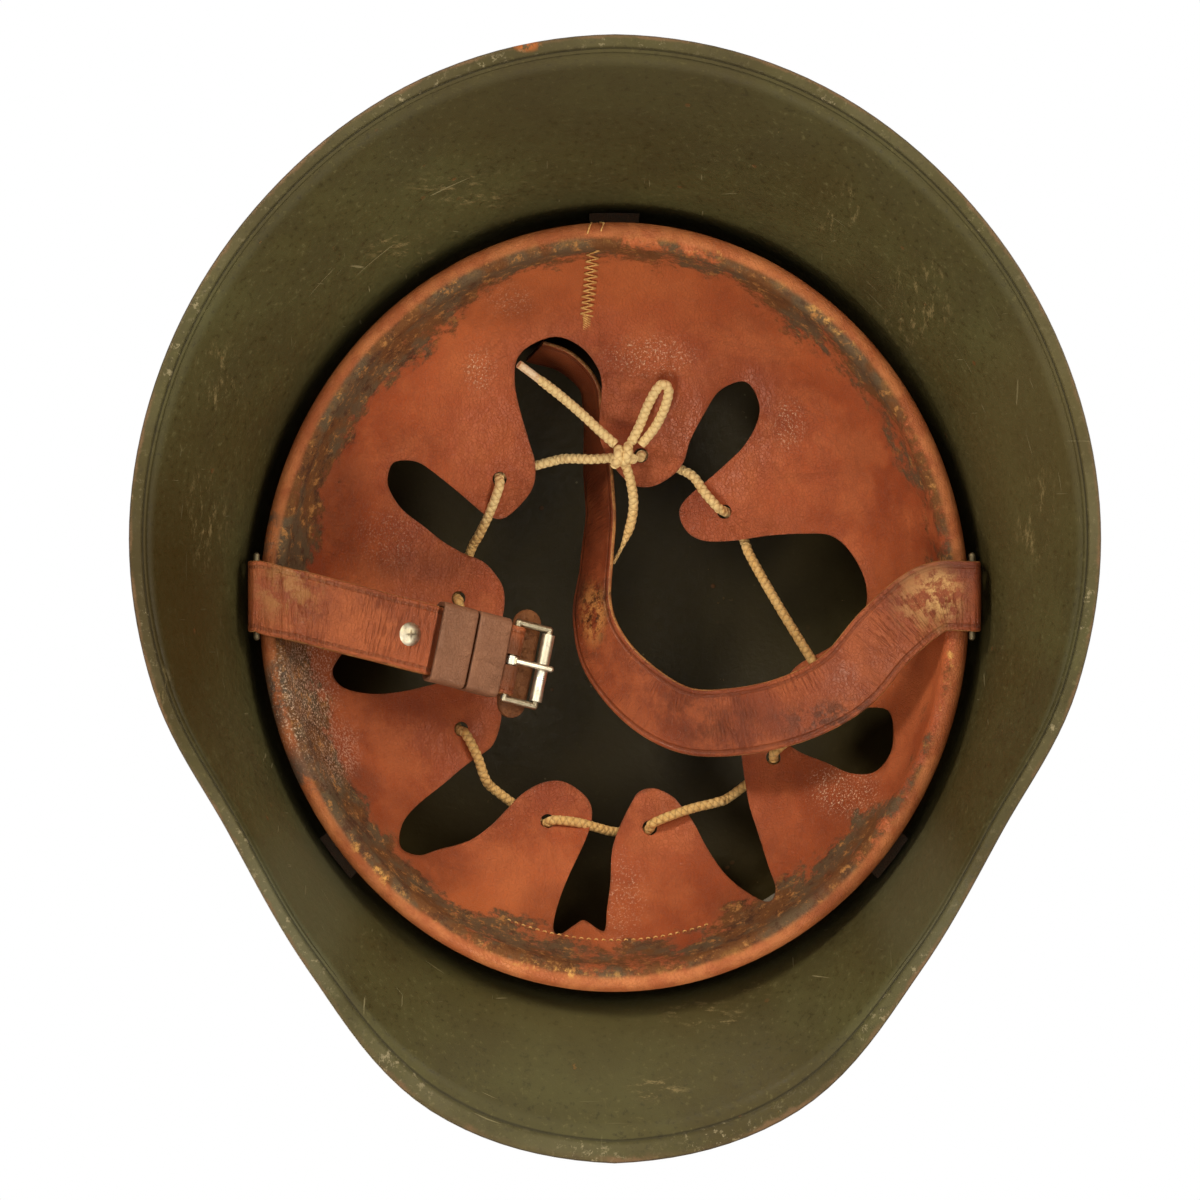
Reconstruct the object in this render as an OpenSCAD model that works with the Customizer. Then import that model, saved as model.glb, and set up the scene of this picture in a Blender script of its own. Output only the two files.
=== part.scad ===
// Steel helmet with a flared skirt, a laced leather liner and a two-piece chin strap.
// Upright as worn: +Z to the crown, the visor toward -Y, the wearer's left at +X.
// The origin is under the middle of the rim, on the surface that the helmet stands on.

/* [Shell] */
// Thickness of the steel
steel_t = 1.2; // [1:0.1:1.5]
// Height of the crown over the rim
shell_h = 170; // [160:1:180]
// Height of the waist, where the wall stands upright and the skirt starts
waist_z = 78; // [76:0.5:80]
// How far the visor's edge reaches out past the waist
visor_reach = 42; // [38:0.5:46]
// How far the rim reaches out at the temples, its narrowest place
temple_reach = 15.5; // [13:0.5:18]
// How far the neck guard's edge reaches out past the waist
neck_reach = 42; // [38:0.5:46]
// How much higher the visor's edge is than the rim at the ears
visor_rise = 38; // [32:1:42]
// Width of the turned-out lip round the sides and the neck
lip_w = 4; // [3:0.5:5]
// Width of the lip at the visor
visor_lip_w = 6.5; // [5.5:0.5:8]

/* [Liner] */
// Half the width of the liner, over its rolled bead
liner_half_w = 100.5; // [99:0.5:102]
// Half the length of the liner, over its rolled bead
liner_half_l = 109; // [107:0.5:111]
// Space between the bead and the shell's waist
liner_gap = 3.7; // [3.5:0.1:4.2]
// Height of the bead's underside over the rim
bead_z = 57.5; // [57:0.5:58.5]
// Radius of the rolled bead
bead_r = 3.65; // [3.5:0.05:3.8]
// Thickness of the liner leather
leather_t = 1.5; // [1.3:0.1:1.6]
// Rise of the leather dome over the bead
dome_rise = 59; // [55:1:62]
// Thickness of the liner's metal band
band_t = 1; // [0.8:0.1:1.1]
// Height of the band's upper edge
band_top = 87; // [86.5:0.5:88]
// Thickness of the felt sewn behind the leather
felt_t = 2; // [1.6:0.1:2.2]
// Width of the leather pads between band and shell
pad_w = 14; // [12:0.5:16]
// Diameter of the holes for the drawcord
lace_hole_d = 4.2; // [4:0.1:4.6]

/* [Rivets and vents] */
// Height of the liner rivets
rivet_z = 81; // [80.5:0.5:82]
// Angle of the front rivets from the middle of the visor
rivet_angle = 48; // [44:1:52]
// Diameter of the liner rivets' shanks
rivet_d = 4; // [3.5:0.1:4.4]
// Diameter of the liner rivets' domed heads
rivet_head_d = 11; // [10:0.5:12]
// Diameter of the washers inside the band
washer_d = 9; // [8:0.5:9.5]
// Thickness of the washers
washer_t = 0.6; // [0.5:0.1:0.8]
// Height of the vent bushes
vent_z = 112; // [108:1:116]
// Bore of the vent bushes
vent_bore_d = 6; // [5:0.5:6.5]
// Wall of the vent bushes
vent_wall = 1.2; // [1:0.1:1.4]
// Diameter of the vent bushes' outer flanges
vent_flange_d = 13; // [12:0.5:15]

/* [Chin strap] */
// Width of the strap leather
strap_w = 20; // [19:0.5:20.5]
// Thickness of the strap leather
strap_t = 1.5; // [1.3:0.1:1.6]
// Diameter of the wire loops that carry the straps
loop_wire_d = 1.8; // [1.6:0.1:2]
// Height of the bar that each strap hangs on
bar_z = 54; // [53.5:0.1:54.4]
// Place of the loops in front of or behind the middle
loop_y = 3; // [2:0.5:4]
// Angle at which the buckle strap lies up into the liner
strap_tilt = 30; // [28:0.5:31]
// Angle at which the buckle strap lies toward the visor
strap_slew = 13; // [12:0.5:14]
// Diameter of the strap rivet's head
strap_rivet_d = 6.8; // [6:0.2:7.2]
// Width of each keeper along the strap
keeper_w = 11.4; // [11:0.1:11.5]
// Thickness of the keepers' leather
keeper_t = 1.4; // [1.2:0.1:1.6]
// Diameter of the buckle's wire
buckle_wire_d = 2; // [1.8:0.1:2.1]
// Outer diameter of the roller
roller_d = 3.7; // [3.6:0.1:4]
// Width over the lobes of the leather guard behind the buckle
guard_w = 32; // [30:0.5:34]

/* [Drawcord] */
// Diameter of the drawcord
cord_d = 2.8; // [2.6:0.1:3]

/* [Hidden] */

// Small play between metal pieces that touch
fit = 0.05;
// Play between leather or felt and what it lies against
soft_fit = 0.1;
// Running play round a bar or a pin
bar_fit = 0.1;
// Length of the cutters that go right through a wall
cut_h = 20;

// Steps round the ring of every lofted piece
turn_steps = 72;
turn_angles = [for (i = [0:turn_steps - 1]) 360 * i / turn_steps];

function unit(v) = v / norm(v);
function reversed(list) = [for (i = [len(list) - 1:-1:0]) list[i]];
function clamp01(v) = min(1, max(0, v));
function blend(v) = clamp01(v) * clamp01(v) * (3 - 2 * clamp01(v));

// One value from evenly spaced stations, joined by a smooth curve
function station(list, t) =
    let (
        last = len(list) - 1,
        i = min(last - 1, max(0, floor(t))),
        f = t - i,
        a = list[max(0, i - 1)],
        b = list[i],
        c = list[i + 1],
        d = list[min(last, i + 2)]
    )
    b + f * ((c - a) / 2 + f * (a - 2.5 * b + 2 * c - d / 2
        + f * (1.5 * b - 1.5 * c + (d - a) / 2)));

// A solid skinned over rings of equal length, with a point closing each end
module skin(rings, first, last) {
    n = len(rings[0]);
    m = len(rings);
    points = concat([first], [for (r = rings) each r], [last]);
    faces = concat(
        [for (k = [0:n - 1]) [0, 1 + (k + 1) % n, 1 + k]],
        [for (i = [0:m - 2], k = [0:n - 1])
            let (a = 1 + i * n + k, b = 1 + i * n + (k + 1) % n)
            each [[a, b, a + n], [b, b + n, a + n]]],
        [for (k = [0:n - 1])
            [m * n + 1, 1 + (m - 1) * n + k, 1 + (m - 1) * n + (k + 1) % n]]
    );
    polyhedron(points, faces);
}

// A solid skinned over a closed row of sections, such as a ring
module skin_loop(sections) {
    n = len(sections[0]);
    m = len(sections);
    points = [for (s = sections) each s];
    faces = [for (i = [0:m - 1], k = [0:n - 1])
        let (
            a = i * n + k,
            b = i * n + (k + 1) % n,
            c = ((i + 1) % m) * n + k,
            d = ((i + 1) % m) * n + (k + 1) % n
        )
        each [[a, b, c], [b, d, c]]];
    polyhedron(points, faces);
}

// A solid skinned over sections that are capped flat at both ends
module skin_block(sections) {
    n = len(sections[0]);
    m = len(sections);
    points = [for (s = sections) each s];
    faces = concat(
        [for (k = [1:n - 2]) [0, k + 1, k]],
        [for (i = [0:m - 2], k = [0:n - 1])
            let (a = i * n + k, b = i * n + (k + 1) % n)
            each [[a, b, a + n], [b, b + n, a + n]]],
        [for (k = [1:n - 2]) [(m - 1) * n, (m - 1) * n + k, (m - 1) * n + k + 1]]
    );
    polyhedron(points, faces);
}

// Every ring of the liner and the waist is the bead's ellipse, moved in by d
mean_half = (liner_half_w + liner_half_l) / 2;
function ellipse_r(a) = 1 / norm([sin(a) / liner_half_w, cos(a) / liner_half_l]);
function ring_r(a, d) = ellipse_r(a) * (1 - d / mean_half);
function at(a, r, z) = [r * sin(a), -r * cos(a), z];

// Angle of the ellipse's outward normal at polar angle a, from the visor
function normal_a(a) = atan2(sin(a) / pow(liner_half_w, 2), cos(a) / pow(liner_half_l, 2));

// Shell, from the crown to the rim, with angle 0 at the middle of the visor
waist_r = function (a) ring_r(a, -liner_gap);
crown_h = shell_h - steel_t - waist_z;
visor_side = 14;
ear_side = 76;
function rim_z(a) = visor_rise * (1 - blend((fold_a(a) - visor_side) / (ear_side - visor_side)));
function fold_a(a) = a > 180 ? 360 - a : a;
function lip(a) = lip_w + (visor_lip_w - lip_w) * (1 - blend((fold_a(a) - 20) / 30));
lip_slope = 15;
function lip_drop(a) = lip(a) * tan(lip_slope) * (1 - blend((fold_a(a) - 20) / 40));
reach_step = 20;
reach = [visor_reach, visor_reach - 4.5, temple_reach + 6.5, temple_reach,
    temple_reach + 7, temple_reach + 13.5, neck_reach - 8.5, neck_reach - 5,
    neck_reach - 1.5, neck_reach];
function rim_r(a) = waist_r(a) + station(reach, fold_a(a) / reach_step);
// How upright the skirt leaves the waist, as a share of the way down
skirt_hold = 0.42;

dome_angles = [8, 18, 29, 40, 50, 60, acos((vent_z - waist_z) / crown_h), 76, 83, 90];
skirt_shares = [0.2, 0.4, 0.6, 0.8, 1];

// Inner line of the shell at angle a, as radius and height
function inner_line(a) =
    let (
        w = waist_r(a),
        z1 = rim_z(a),
        z2 = z1 + lip_drop(a),
        r2 = rim_r(a) - lip(a),
        bend = [w + 1, z2 + (1 - skirt_hold) * (waist_z - z2)]
    )
    concat(
        [for (t = dome_angles) [w * sin(t), waist_z + crown_h * cos(t)]],
        [for (s = skirt_shares)
            pow(1 - s, 2) * [w, waist_z] + 2 * s * (1 - s) * bend + s * s * [r2, z2]],
        [[rim_r(a) - steel_t / 3, z1]]
    );

// Outer line, one steel thickness off the inner line
function outer_line(a) =
    let (p = inner_line(a), last = len(p) - 1)
    [for (i = [0:last])
        let (
            t = unit(p[min(last, i + 1)] - (i == 0 ? [0, waist_z + crown_h] : p[i - 1]))
        )
        p[i] + steel_t * [-t[1], t[0]]];

function shell_rings() =
    let (
        inner = [for (a = turn_angles) inner_line(a)],
        outer = [for (a = turn_angles) outer_line(a)],
        rows = len(inner[0])
    )
    concat(
        [for (j = [0:rows - 1]) [for (i = [0:turn_steps - 1])
            at(turn_angles[i], inner[i][j][0], inner[i][j][1])]],
        [[for (i = [0:turn_steps - 1])
            at(turn_angles[i], rim_r(turn_angles[i]), rim_z(turn_angles[i]) + steel_t / 2)]],
        [for (j = [rows - 1:-1:0]) [for (i = [0:turn_steps - 1])
            at(turn_angles[i], outer[i][j][0], outer[i][j][1])]]
    );

rivet_angles = [rivet_angle, -rivet_angle, 180];

// Frame at a liner rivet: x points out of the shell, from its outer face
function rivet_base(a) = at(a, ring_r(a, -liner_gap) + steel_t, rivet_z);
module at_rivet(a) {
    translate(rivet_base(a)) rotate([0, 0, normal_a(a) - 90]) children();
}
// Depth of the band's inner face behind the shell's outer face
function rivet_depth(a) = steel_t + ring_r(a, -liner_gap) - ring_r(a, band_in_d);
rivet_fit = 0.3;
washer_play = 0.3;

// Frame at a vent bush: x points out of the shell, from its inner face
vent_sin = (vent_z - waist_z) / crown_h;
vent_r = waist_r(90) * sqrt(1 - vent_sin * vent_sin);
vent_tilt = atan2((vent_z - waist_z) / pow(crown_h, 2), vent_r / pow(waist_r(90), 2));
module at_vent(side) {
    translate([side * vent_r, 0, vent_z]) rotate([0, -side * vent_tilt, 0])
        rotate([0, 0, side > 0 ? 0 : 180]) children();
}
vent_out_d = vent_bore_d + 2 * vent_wall;
vent_flange_t = 1;
vent_curl = 0.8;
vent_play = 0.7;

module shell() {
    color("darkolivegreen") difference() {
        skin(reversed(shell_rings()), [0, 0, shell_h], [0, 0, shell_h - steel_t]);
        for (a = rivet_angles)
            at_rivet(a) rotate([0, 90, 0])
                cylinder(d = rivet_d + 2 * fit, h = cut_h, center = true, $fn = 32);
        for (side = [-1, 1])
            at_vent(side) rotate([0, 90, 0])
                cylinder(d = vent_out_d + 2 * fit, h = cut_h, center = true, $fn = 32);
    }
}

// Flanged bush that lines a vent hole, with its inner end curled over
module vent_bush(side) {
    out = steel_t + rivet_fit;
    in = vent_play + vent_wall;
    at_vent(side) rotate([0, 90, 0]) difference() {
        union() {
            translate([0, 0, out]) cylinder(d = vent_flange_d, h = vent_flange_t, $fn = 48);
            translate([0, 0, -in]) cylinder(d = vent_out_d, h = in + out + vent_flange_t, $fn = 48);
            translate([0, 0, -in]) cylinder(d = vent_out_d + 2 * vent_curl, h = vent_wall, $fn = 48);
        }
        cylinder(d = vent_bore_d, h = cut_h, center = true, $fn = 48);
    }
}
module vent_bush_left() { color("olive") vent_bush(1); }
module vent_bush_right() { color("olive") vent_bush(-1); }

// Radius of the ball that a domed head of diameter d and height h is cut from
function ball_r(d, h) = (d * d / 4 + h * h) / (2 * h);
// Rivet that holds the band: domed head outside, clenched inside the washer
module liner_rivet(a) {
    head_h = rivet_head_d * 0.22;
    clench_t = 1;
    clench_x = -rivet_depth(a) - washer_t - washer_play - fit;
    at_rivet(a) rotate([0, 90, 0]) {
        intersection() {
            translate([0, 0, head_h - ball_r(rivet_head_d, head_h) + rivet_fit])
                sphere(ball_r(rivet_head_d, head_h), $fn = 64);
            translate([0, 0, rivet_fit]) cylinder(d = rivet_head_d, h = head_h, $fn = 48);
        }
        translate([0, 0, clench_x - clench_t / 2])
            cylinder(d = rivet_d, h = head_h / 2 + rivet_fit + clench_t / 2 - clench_x, $fn = 32);
        translate([0, 0, clench_x - clench_t]) cylinder(d = rivet_d * 1.6, h = clench_t, $fn = 32);
    }
}
module liner_rivet_left() { color("darkolivegreen") liner_rivet(rivet_angle); }
module liner_rivet_right() { color("darkolivegreen") liner_rivet(-rivet_angle); }
module liner_rivet_rear() { color("darkolivegreen") liner_rivet(180); }

module washer(a) {
    at_rivet(a) translate([-rivet_depth(a) - washer_t - washer_play, 0, 0]) rotate([0, 90, 0])
        difference() {
            cylinder(d = washer_d, h = washer_t, $fn = 48);
            cylinder(d = rivet_d + 2 * fit, h = cut_h, center = true, $fn = 32);
        }
}
module washer_left() { color("silver") washer(rivet_angle); }
module washer_right() { color("silver") washer(-rivet_angle); }
module washer_rear() { color("silver") washer(180); }

// Heights and depths of the band, which stands in the bead's groove
bead_mid_z = bead_z + bead_r;
bead_leg_h = 7;
band_out_d = leather_t + soft_fit;
band_in_d = band_out_d + band_t;

// Leather spacer that fills the gap between band and shell at a rivet
pad_bottom = bead_mid_z + bead_leg_h + 0.3;
pad_top = band_top;
pad_play = 0.5;
function dome_r(a, z) = waist_r(a) * sqrt(1 - pow(max(0, z - waist_z) / crown_h, 2));
module pad(a) {
    half = asin(pad_w / 2 / ellipse_r(a));
    heights = [pad_bottom, waist_z, pad_top];
    steps = [-1, -0.5, 0, 0.5, 1];
    difference() {
        skin_block([for (s = steps)
            let (b = a + s * half)
            concat(
                [for (z = heights) at(b, dome_r(b, z) - pad_play, z)],
                [for (z = [pad_top, pad_bottom]) at(b, ring_r(b, band_out_d) + soft_fit, z)]
            )]);
        at_rivet(a) rotate([0, 90, 0])
            cylinder(d = rivet_d + 2 * fit, h = cut_h, center = true, $fn = 32);
    }
}
module pad_left() { color("tan") pad(rivet_angle); }
module pad_right() { color("tan") pad(-rivet_angle); }
module pad_rear() { color("tan") pad(180); }

// Lugs that hold the strap loops, riveted through the band
lug_rivet_d = 2;
lug_rivet_y = 3.5;
lug_rivet_z = 78.5;
lug_w = 12;
lug_t = 0.8;
band_x = liner_half_w * (1 - band_out_d / mean_half);
bar_x = liner_half_w + 0.3;
loop_x = bar_x + 1.1;
loop_top_z = bead_mid_z + bead_leg_h + 3.3;
loop_half = strap_w / 2 + 1.5;

module liner_band() {
    color("gainsboro") difference() {
        skin_loop([for (a = turn_angles) [
            at(a, ring_r(a, band_in_d), bead_mid_z),
            at(a, ring_r(a, band_out_d), bead_mid_z),
            at(a, ring_r(a, band_out_d), band_top),
            at(a, ring_r(a, band_in_d), band_top)]]);
        for (a = rivet_angles)
            at_rivet(a) rotate([0, 90, 0])
                cylinder(d = rivet_d + 2 * fit, h = cut_h, center = true, $fn = 32);
        for (side = [-1, 1], y = [-lug_rivet_y, lug_rivet_y])
            translate([side * band_x, loop_y + y, lug_rivet_z]) rotate([0, 90, 0])
                cylinder(d = lug_rivet_d + 2 * fit, h = cut_h / 2, center = true, $fn = 24);
    }
}

// Leather dome: a share p of the way from the middle out to the bead
leather_r = mean_half - 2 * bead_r;
dome_power = 2.4;
side_power = 0.62;
function dome_z(p) = bead_mid_z + dome_rise * pow(1 - pow(p, dome_power), side_power);
function share_d(p) = mean_half - leather_r * p;
leather_shares = [1, 0.99, 0.965, 0.92, 0.86, 0.78, 0.68, 0.56, 0.42, 0.27];

// Line of the leather's inner face moved out by t, as depth and height
function leather_line(shares, t) =
    [for (p = shares)
        let (
            e = 0.002,
            a = min(1, p + e),
            b = p - e,
            run = unit([leather_r * (b - a), dome_z(b) - dome_z(a)]),
            moved = [share_d(p), dome_z(p)] + t * [-run[1], -run[0]]
        )
        moved];

bead_turns = [0, 40, 90, 140, 180];
// Closed section of leather: up the inner face, back down, and round the bead
leather_section =
    let (
        inside = leather_line(leather_shares, 0),
        outside = leather_line(leather_shares, leather_t),
        n = len(leather_shares)
    )
    concat(
        [for (t = bead_turns) [bead_r * (1 - cos(t)), bead_mid_z - bead_r * sin(t)]],
        [for (i = [1:n - 1]) inside[i]],
        [for (i = [n - 1:-1:1]) outside[i]],
        [for (t = bead_turns)
            [bead_r + (bead_r - leather_t) * cos(t), bead_mid_z - (bead_r - leather_t) * sin(t)]],
        [[leather_t, bead_mid_z + bead_leg_h], [0, bead_mid_z + bead_leg_h]]
    );

function plan_share(x, y) = norm([x / liner_half_w, y / liner_half_l]) * mean_half / leather_r;
function leather_z(x, y) = dome_z(min(0.999, plan_share(x, y)));

// Outline of the opening between the nine fingers, from the rear left finger round
finger_outline = [
    [32, 26.5], [24.5, 34], [23, 41.5], [25, 49], [27.5, 57.5], [29, 65],
    [28.5, 72], [24.5, 76.5], [17, 79], [10, 76.5], [5.5, 71.5], [3.5, 65], [4, 49],
    [-3.5, 37.5], [-10.5, 35.5], [-17, 38.5], [-20.5, 42.5], [-22.5, 49],
    [-27, 57.5], [-31, 63.5], [-37, 66.5], [-40.5, 65], [-43, 59], [-42, 53.5],
    [-38.5, 47.5], [-34, 43], [-29, 38.5], [-21, 31.5], [-19.5, 27], [-22, 22],
    [-27, 19.5], [-35.5, 19.5], [-46, 21], [-56, 21.5], [-63.5, 21], [-69, 16.5],
    [-73, 9.5], [-74, 2], [-72, -4], [-68, -8.5], [-62, -12.5], [-54, -17],
    [-51, -22], [-54, -27.5], [-65, -31.5], [-72, -29.5], [-79.5, -30],
    [-80.5, -37.5], [-79, -43.5], [-75, -48], [-69, -48.5], [-62, -45.5],
    [-54.5, -42.5], [-50, -39.5], [-46, -37.5], [-41.5, -37], [-38.5, -38.5],
    [-37.5, -42], [-39.5, -56.5], [-42, -65.5], [-45, -75.5], [-46.5, -80.5],
    [-45.5, -84], [-42.5, -84.5], [-37, -81.5], [-31.5, -76.5], [-27, -70],
    [-23, -62.5], [-19.5, -58], [-17, -55.5], [-12, -53.5], [-7.5, -54.5],
    [-5, -58], [-2, -64], [0.5, -71.5], [1, -80], [2, -87], [2.5, -92.5],
    [4, -93], [8.5, -90.5], [11, -91.5], [15.5, -94], [17.5, -92.5],
    [16.5, -87], [14, -80.5], [10.5, -73.5], [8, -68], [6.5, -62.5], [7, -58],
    [10, -54.5], [15.5, -51.5], [21.5, -52], [27, -55], [32, -60], [36, -64],
    [42, -68], [50.5, -70], [56, -71.5], [60.5, -70], [62, -67], [61, -62],
    [56.5, -57], [49.5, -51.5], [43.5, -46.5], [39, -43.5], [35.5, -40.5],
    [33.5, -34.5], [33.5, -29], [36, -24.5], [42, -22], [51, -22.5], [62.5, -25],
    [71, -25.5], [78, -23.5], [81, -19.5], [80, -15.5], [76.5, -12],
    [66, -12], [54, -13.5], [42, -12.5], [35, -8], [32.5, -1.5], [32.5, 5],
    [35, 9.5], [39, 13.5], [45, 16], [51, 19.5], [56.5, 24], [62, 28.5],
    [65.5, 34], [66, 38], [64.5, 42], [60.5, 43], [56.5, 42], [50.5, 37.5],
    [45, 33], [41, 29.5], [37.5, 27]];
// Smooth closed curve through the outline's points
function round_outline(list) =
    let (n = len(list))
    [for (i = [0:n - 1], s = [0, 0.5])
        let (a = list[(i + n - 1) % n], b = list[i], c = list[(i + 1) % n], d = list[(i + 2) % n])
        station([a, b, c, d], 1 + s)];

// Holes of the drawcord, one near each finger's tip, in the order of the lacing
lace_holes = [[33.5, 37.5], [46, 2.5], [45, -36], [19.5, -63], [-10.5, -64.5],
    [-46.5, -44], [-61.5, -20], [-32.5, 28], [-8, 44.5]];
// Where the cord drops behind the next finger, before each hole
lace_gaps = [[13, 43.5], [39.5, 21], [46, -18], [37.5, -50], [4.5, -64.5],
    [-30, -57], [-59, -33.5], [-40, 15], [-23.5, 38]];

// Normal of the leather at a hole, from three points of its face
function leather_normal(x, y) =
    let (e = 0.5, z = leather_z(x, y))
    unit([-(leather_z(x + e, y) - z) / e, -(leather_z(x, y + e) - z) / e, 1]);
function lift_point(p, t) =
    let (z = leather_z(p[0], p[1]))
    [p[0], p[1], z] + t * leather_normal(p[0], p[1]);

module liner_leather() {
    color("sienna") difference() {
        skin_loop([for (a = turn_angles)
            [for (p = reversed(leather_section)) at(a, ring_r(a, p[0]), p[1])]]);
        translate([0, 0, bead_mid_z]) linear_extrude(dome_rise + 20) union() {
            polygon(round_outline(finger_outline));
            for (h = lace_holes) translate(h) circle(d = lace_hole_d, $fn = 32);
        }
    }
}

// Felt strip sewn behind the leather, above the bead
felt_shares = [0.993, 0.975, 0.95, 0.92];
module liner_felt() {
    front = leather_line(felt_shares, leather_t + soft_fit);
    back = leather_line(felt_shares, leather_t + soft_fit + felt_t);
    section = concat(back, reversed(front));
    color("dimgray") skin_loop([for (a = turn_angles)
        [for (p = section) at(a, ring_r(a, p[0]), p[1])]]);
}

// Sheet lug: a plate on the band whose lower edge curls round the loop's top bar
module lug(side) {
    curl_r = loop_wire_d / 2 + fit + lug_t;
    translate([0, loop_y, 0]) difference() {
        union() {
            translate([side > 0 ? band_x + fit : -band_x - fit - lug_t, -lug_w / 2, loop_top_z + 1])
                cube([lug_t, lug_w, band_top - loop_top_z - 1]);
            translate([side > 0 ? band_x + fit : -loop_x, -lug_w / 2, loop_top_z + curl_r - lug_t])
                cube([loop_x - band_x - fit, lug_w, lug_t]);
            translate([side * loop_x, 0, loop_top_z]) rotate([90, 0, 0])
                cylinder(r = curl_r, h = lug_w, center = true, $fn = 32);
            for (y = [-lug_rivet_y, lug_rivet_y]) {
                translate([side * band_x, y, lug_rivet_z]) rotate([0, side * 90, 0])
                    translate([0, 0, -band_t - 0.8]) cylinder(d = lug_rivet_d, h = band_t + 1.2, $fn = 24);
                translate([side * band_x, y, lug_rivet_z]) rotate([0, side * 90, 0])
                    translate([0, 0, -band_t - 1.2]) cylinder(d = lug_rivet_d * 1.7, h = 0.7, $fn = 24);
            }
        }
        translate([side * loop_x, 0, loop_top_z]) rotate([90, 0, 0])
            cylinder(d = loop_wire_d + 2 * fit, h = lug_w + 2, center = true, $fn = 32);
    }
}
module lug_left() { color("darkkhaki") lug(1); }
module lug_right() { color("darkkhaki") lug(-1); }

// Wire rectangle in the plane of x and y: one bar on the y axis, one at x = reach
module wire_rectangle(reach, half, d) {
    for (x = [0, reach]) translate([x, 0, 0]) rotate([90, 0, 0])
        cylinder(d = d, h = 2 * half, center = true, $fn = 48);
    for (y = [-half, half]) translate([0, y, 0]) rotate([0, 90, 0])
        cylinder(d = d, h = reach, $fn = 48);
    for (x = [0, reach], y = [-half, half]) translate([x, y, 0]) sphere(d = d, $fn = 48);
}

// Wire loop: hinge bar under the bead, top bar in the lug
module wire_loop(side) {
    rise = loop_top_z - bar_z;
    lean = loop_x - bar_x;
    translate([side * bar_x, loop_y, bar_z]) rotate([0, -atan2(rise, side * lean), 0])
        wire_rectangle(norm([rise, lean]), loop_half, loop_wire_d);
}
module loop_left() { color("darkkhaki") wire_loop(1); }
module loop_right() { color("darkkhaki") wire_loop(-1); }

// Buckle strap: flat under the bead, then up at strap_tilt, with u along it,
// v across it and w away from the wearer's side; w = 0 is the main layer's middle
flat_run = 8.5;
bend_x = bar_x - flat_run;
bend_y = loop_y - 2;
bend_z = bar_z + strap_t / 2;
eye_r = loop_wire_d / 2 + bar_fit + strap_t;
module on_strap() {
    translate([bend_x, bend_y, bend_z]) rotate([0, strap_tilt, 0])
        rotate([0, 0, 180 + strap_slew]) children();
}
// Stations along the rising part
rivet_u = 39;
strap_shank_d = 0.4 * strap_rivet_d;
fold_end_u = 46.5;
slide_u = 47.6;
fixed_u = slide_u + keeper_w + 0.6;
hinge_u = fixed_u + keeper_w + 2.2;
roller_u = hinge_u + 10.5;
hinge_w = -strap_t - 0.05;
buckle_eye_r = buckle_wire_d / 2 + bar_fit + 1.3;
prong_w = 2.4;
guard_w0 = strap_t / 2 + soft_fit;

module strap_layer(u0, u1, w0, w1, width = strap_w) {
    translate([u0, -width / 2, w0]) cube([u1 - u0, width, w1 - w0]);
}

module strap_left() {
    back = strap_t / 2;
    front = -1.5 * strap_t;
    top = [sin(strap_tilt), cos(strap_tilt)];
    up = [-cos(strap_tilt), sin(strap_tilt)];
    bend = [bend_x, bend_z];
    join = 3;
    // Side view of the flat part and the bend, as x and z
    side_view = [[bar_x, bar_z - eye_r], [bar_x - 5, bend_z + front], [bend_x - 0.6, bend_z + front],
        bend + front * top + join * up, bend + back * top + join * up,
        [bend_x + 0.2, bend_z + back], [bar_x - 5, bend_z + back], [bar_x, bar_z + eye_r]];
    skew = tan(strap_slew) / cos(strap_tilt);
    half = strap_w / 2 / cos(strap_slew);
    plan_y = function (x) bend_y + (x - bend_x) * skew;
    far_x = bar_x + 2 * eye_r;
    eye_x = bar_x - eye_r - 0.5;
    near_x = bend_x - 8;
    // The eye is square to the bar and runs between the loop's two arms
    eye_half = loop_half - loop_wire_d / 2 - 0.15;
    color("saddlebrown") difference() {
        union() {
            intersection() {
                rotate([90, 0, 0]) linear_extrude(4 * loop_half, center = true) union() {
                    polygon(side_view);
                    translate([bar_x, bar_z]) circle(eye_r, $fn = 48);
                }
                translate([0, 0, bar_z - 10]) linear_extrude(30) polygon([
                    [far_x, loop_y - eye_half], [far_x, loop_y + eye_half],
                    [eye_x, loop_y + eye_half], [near_x, plan_y(near_x) + half],
                    [near_x, plan_y(near_x) - half], [eye_x, loop_y - eye_half]]);
            }
            on_strap() {
                strap_layer(join - 1, fixed_u + keeper_w, -strap_t / 2, back);
                strap_layer(join - 1, fold_end_u, front, -strap_t / 2 + 0.01);
                strap_layer(fixed_u, fixed_u + keeper_w, front, -strap_t / 2 + 0.01);
                translate([0, strap_w / 2, 0]) rotate([90, 0, 0]) linear_extrude(strap_w) union() {
                    polygon([[fixed_u + keeper_w - 0.1, front], [fixed_u + keeper_w - 0.1, back],
                        [hinge_u, hinge_w + buckle_eye_r], [hinge_u, hinge_w - buckle_eye_r]]);
                    translate([hinge_u, hinge_w]) circle(buckle_eye_r, $fn = 48);
                }
            }
        }
        translate([bar_x, 0, bar_z]) rotate([90, 0, 0])
            cylinder(d = loop_wire_d + 2 * bar_fit, h = 4 * loop_half, center = true, $fn = 32);
        on_strap() {
            translate([hinge_u, 0, hinge_w]) rotate([90, 0, 0])
                cylinder(d = buckle_wire_d + 2 * bar_fit, h = 40, center = true, $fn = 32);
            translate([hinge_u - 2.6, -prong_w / 2 - 0.4, hinge_w - 5]) cube([8, prong_w + 0.8, 10]);
            translate([rivet_u, 0, 0])
                cylinder(d = strap_shank_d + 2 * fit, h = cut_h / 2, center = true, $fn = 32);
        }
    }
}

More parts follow.
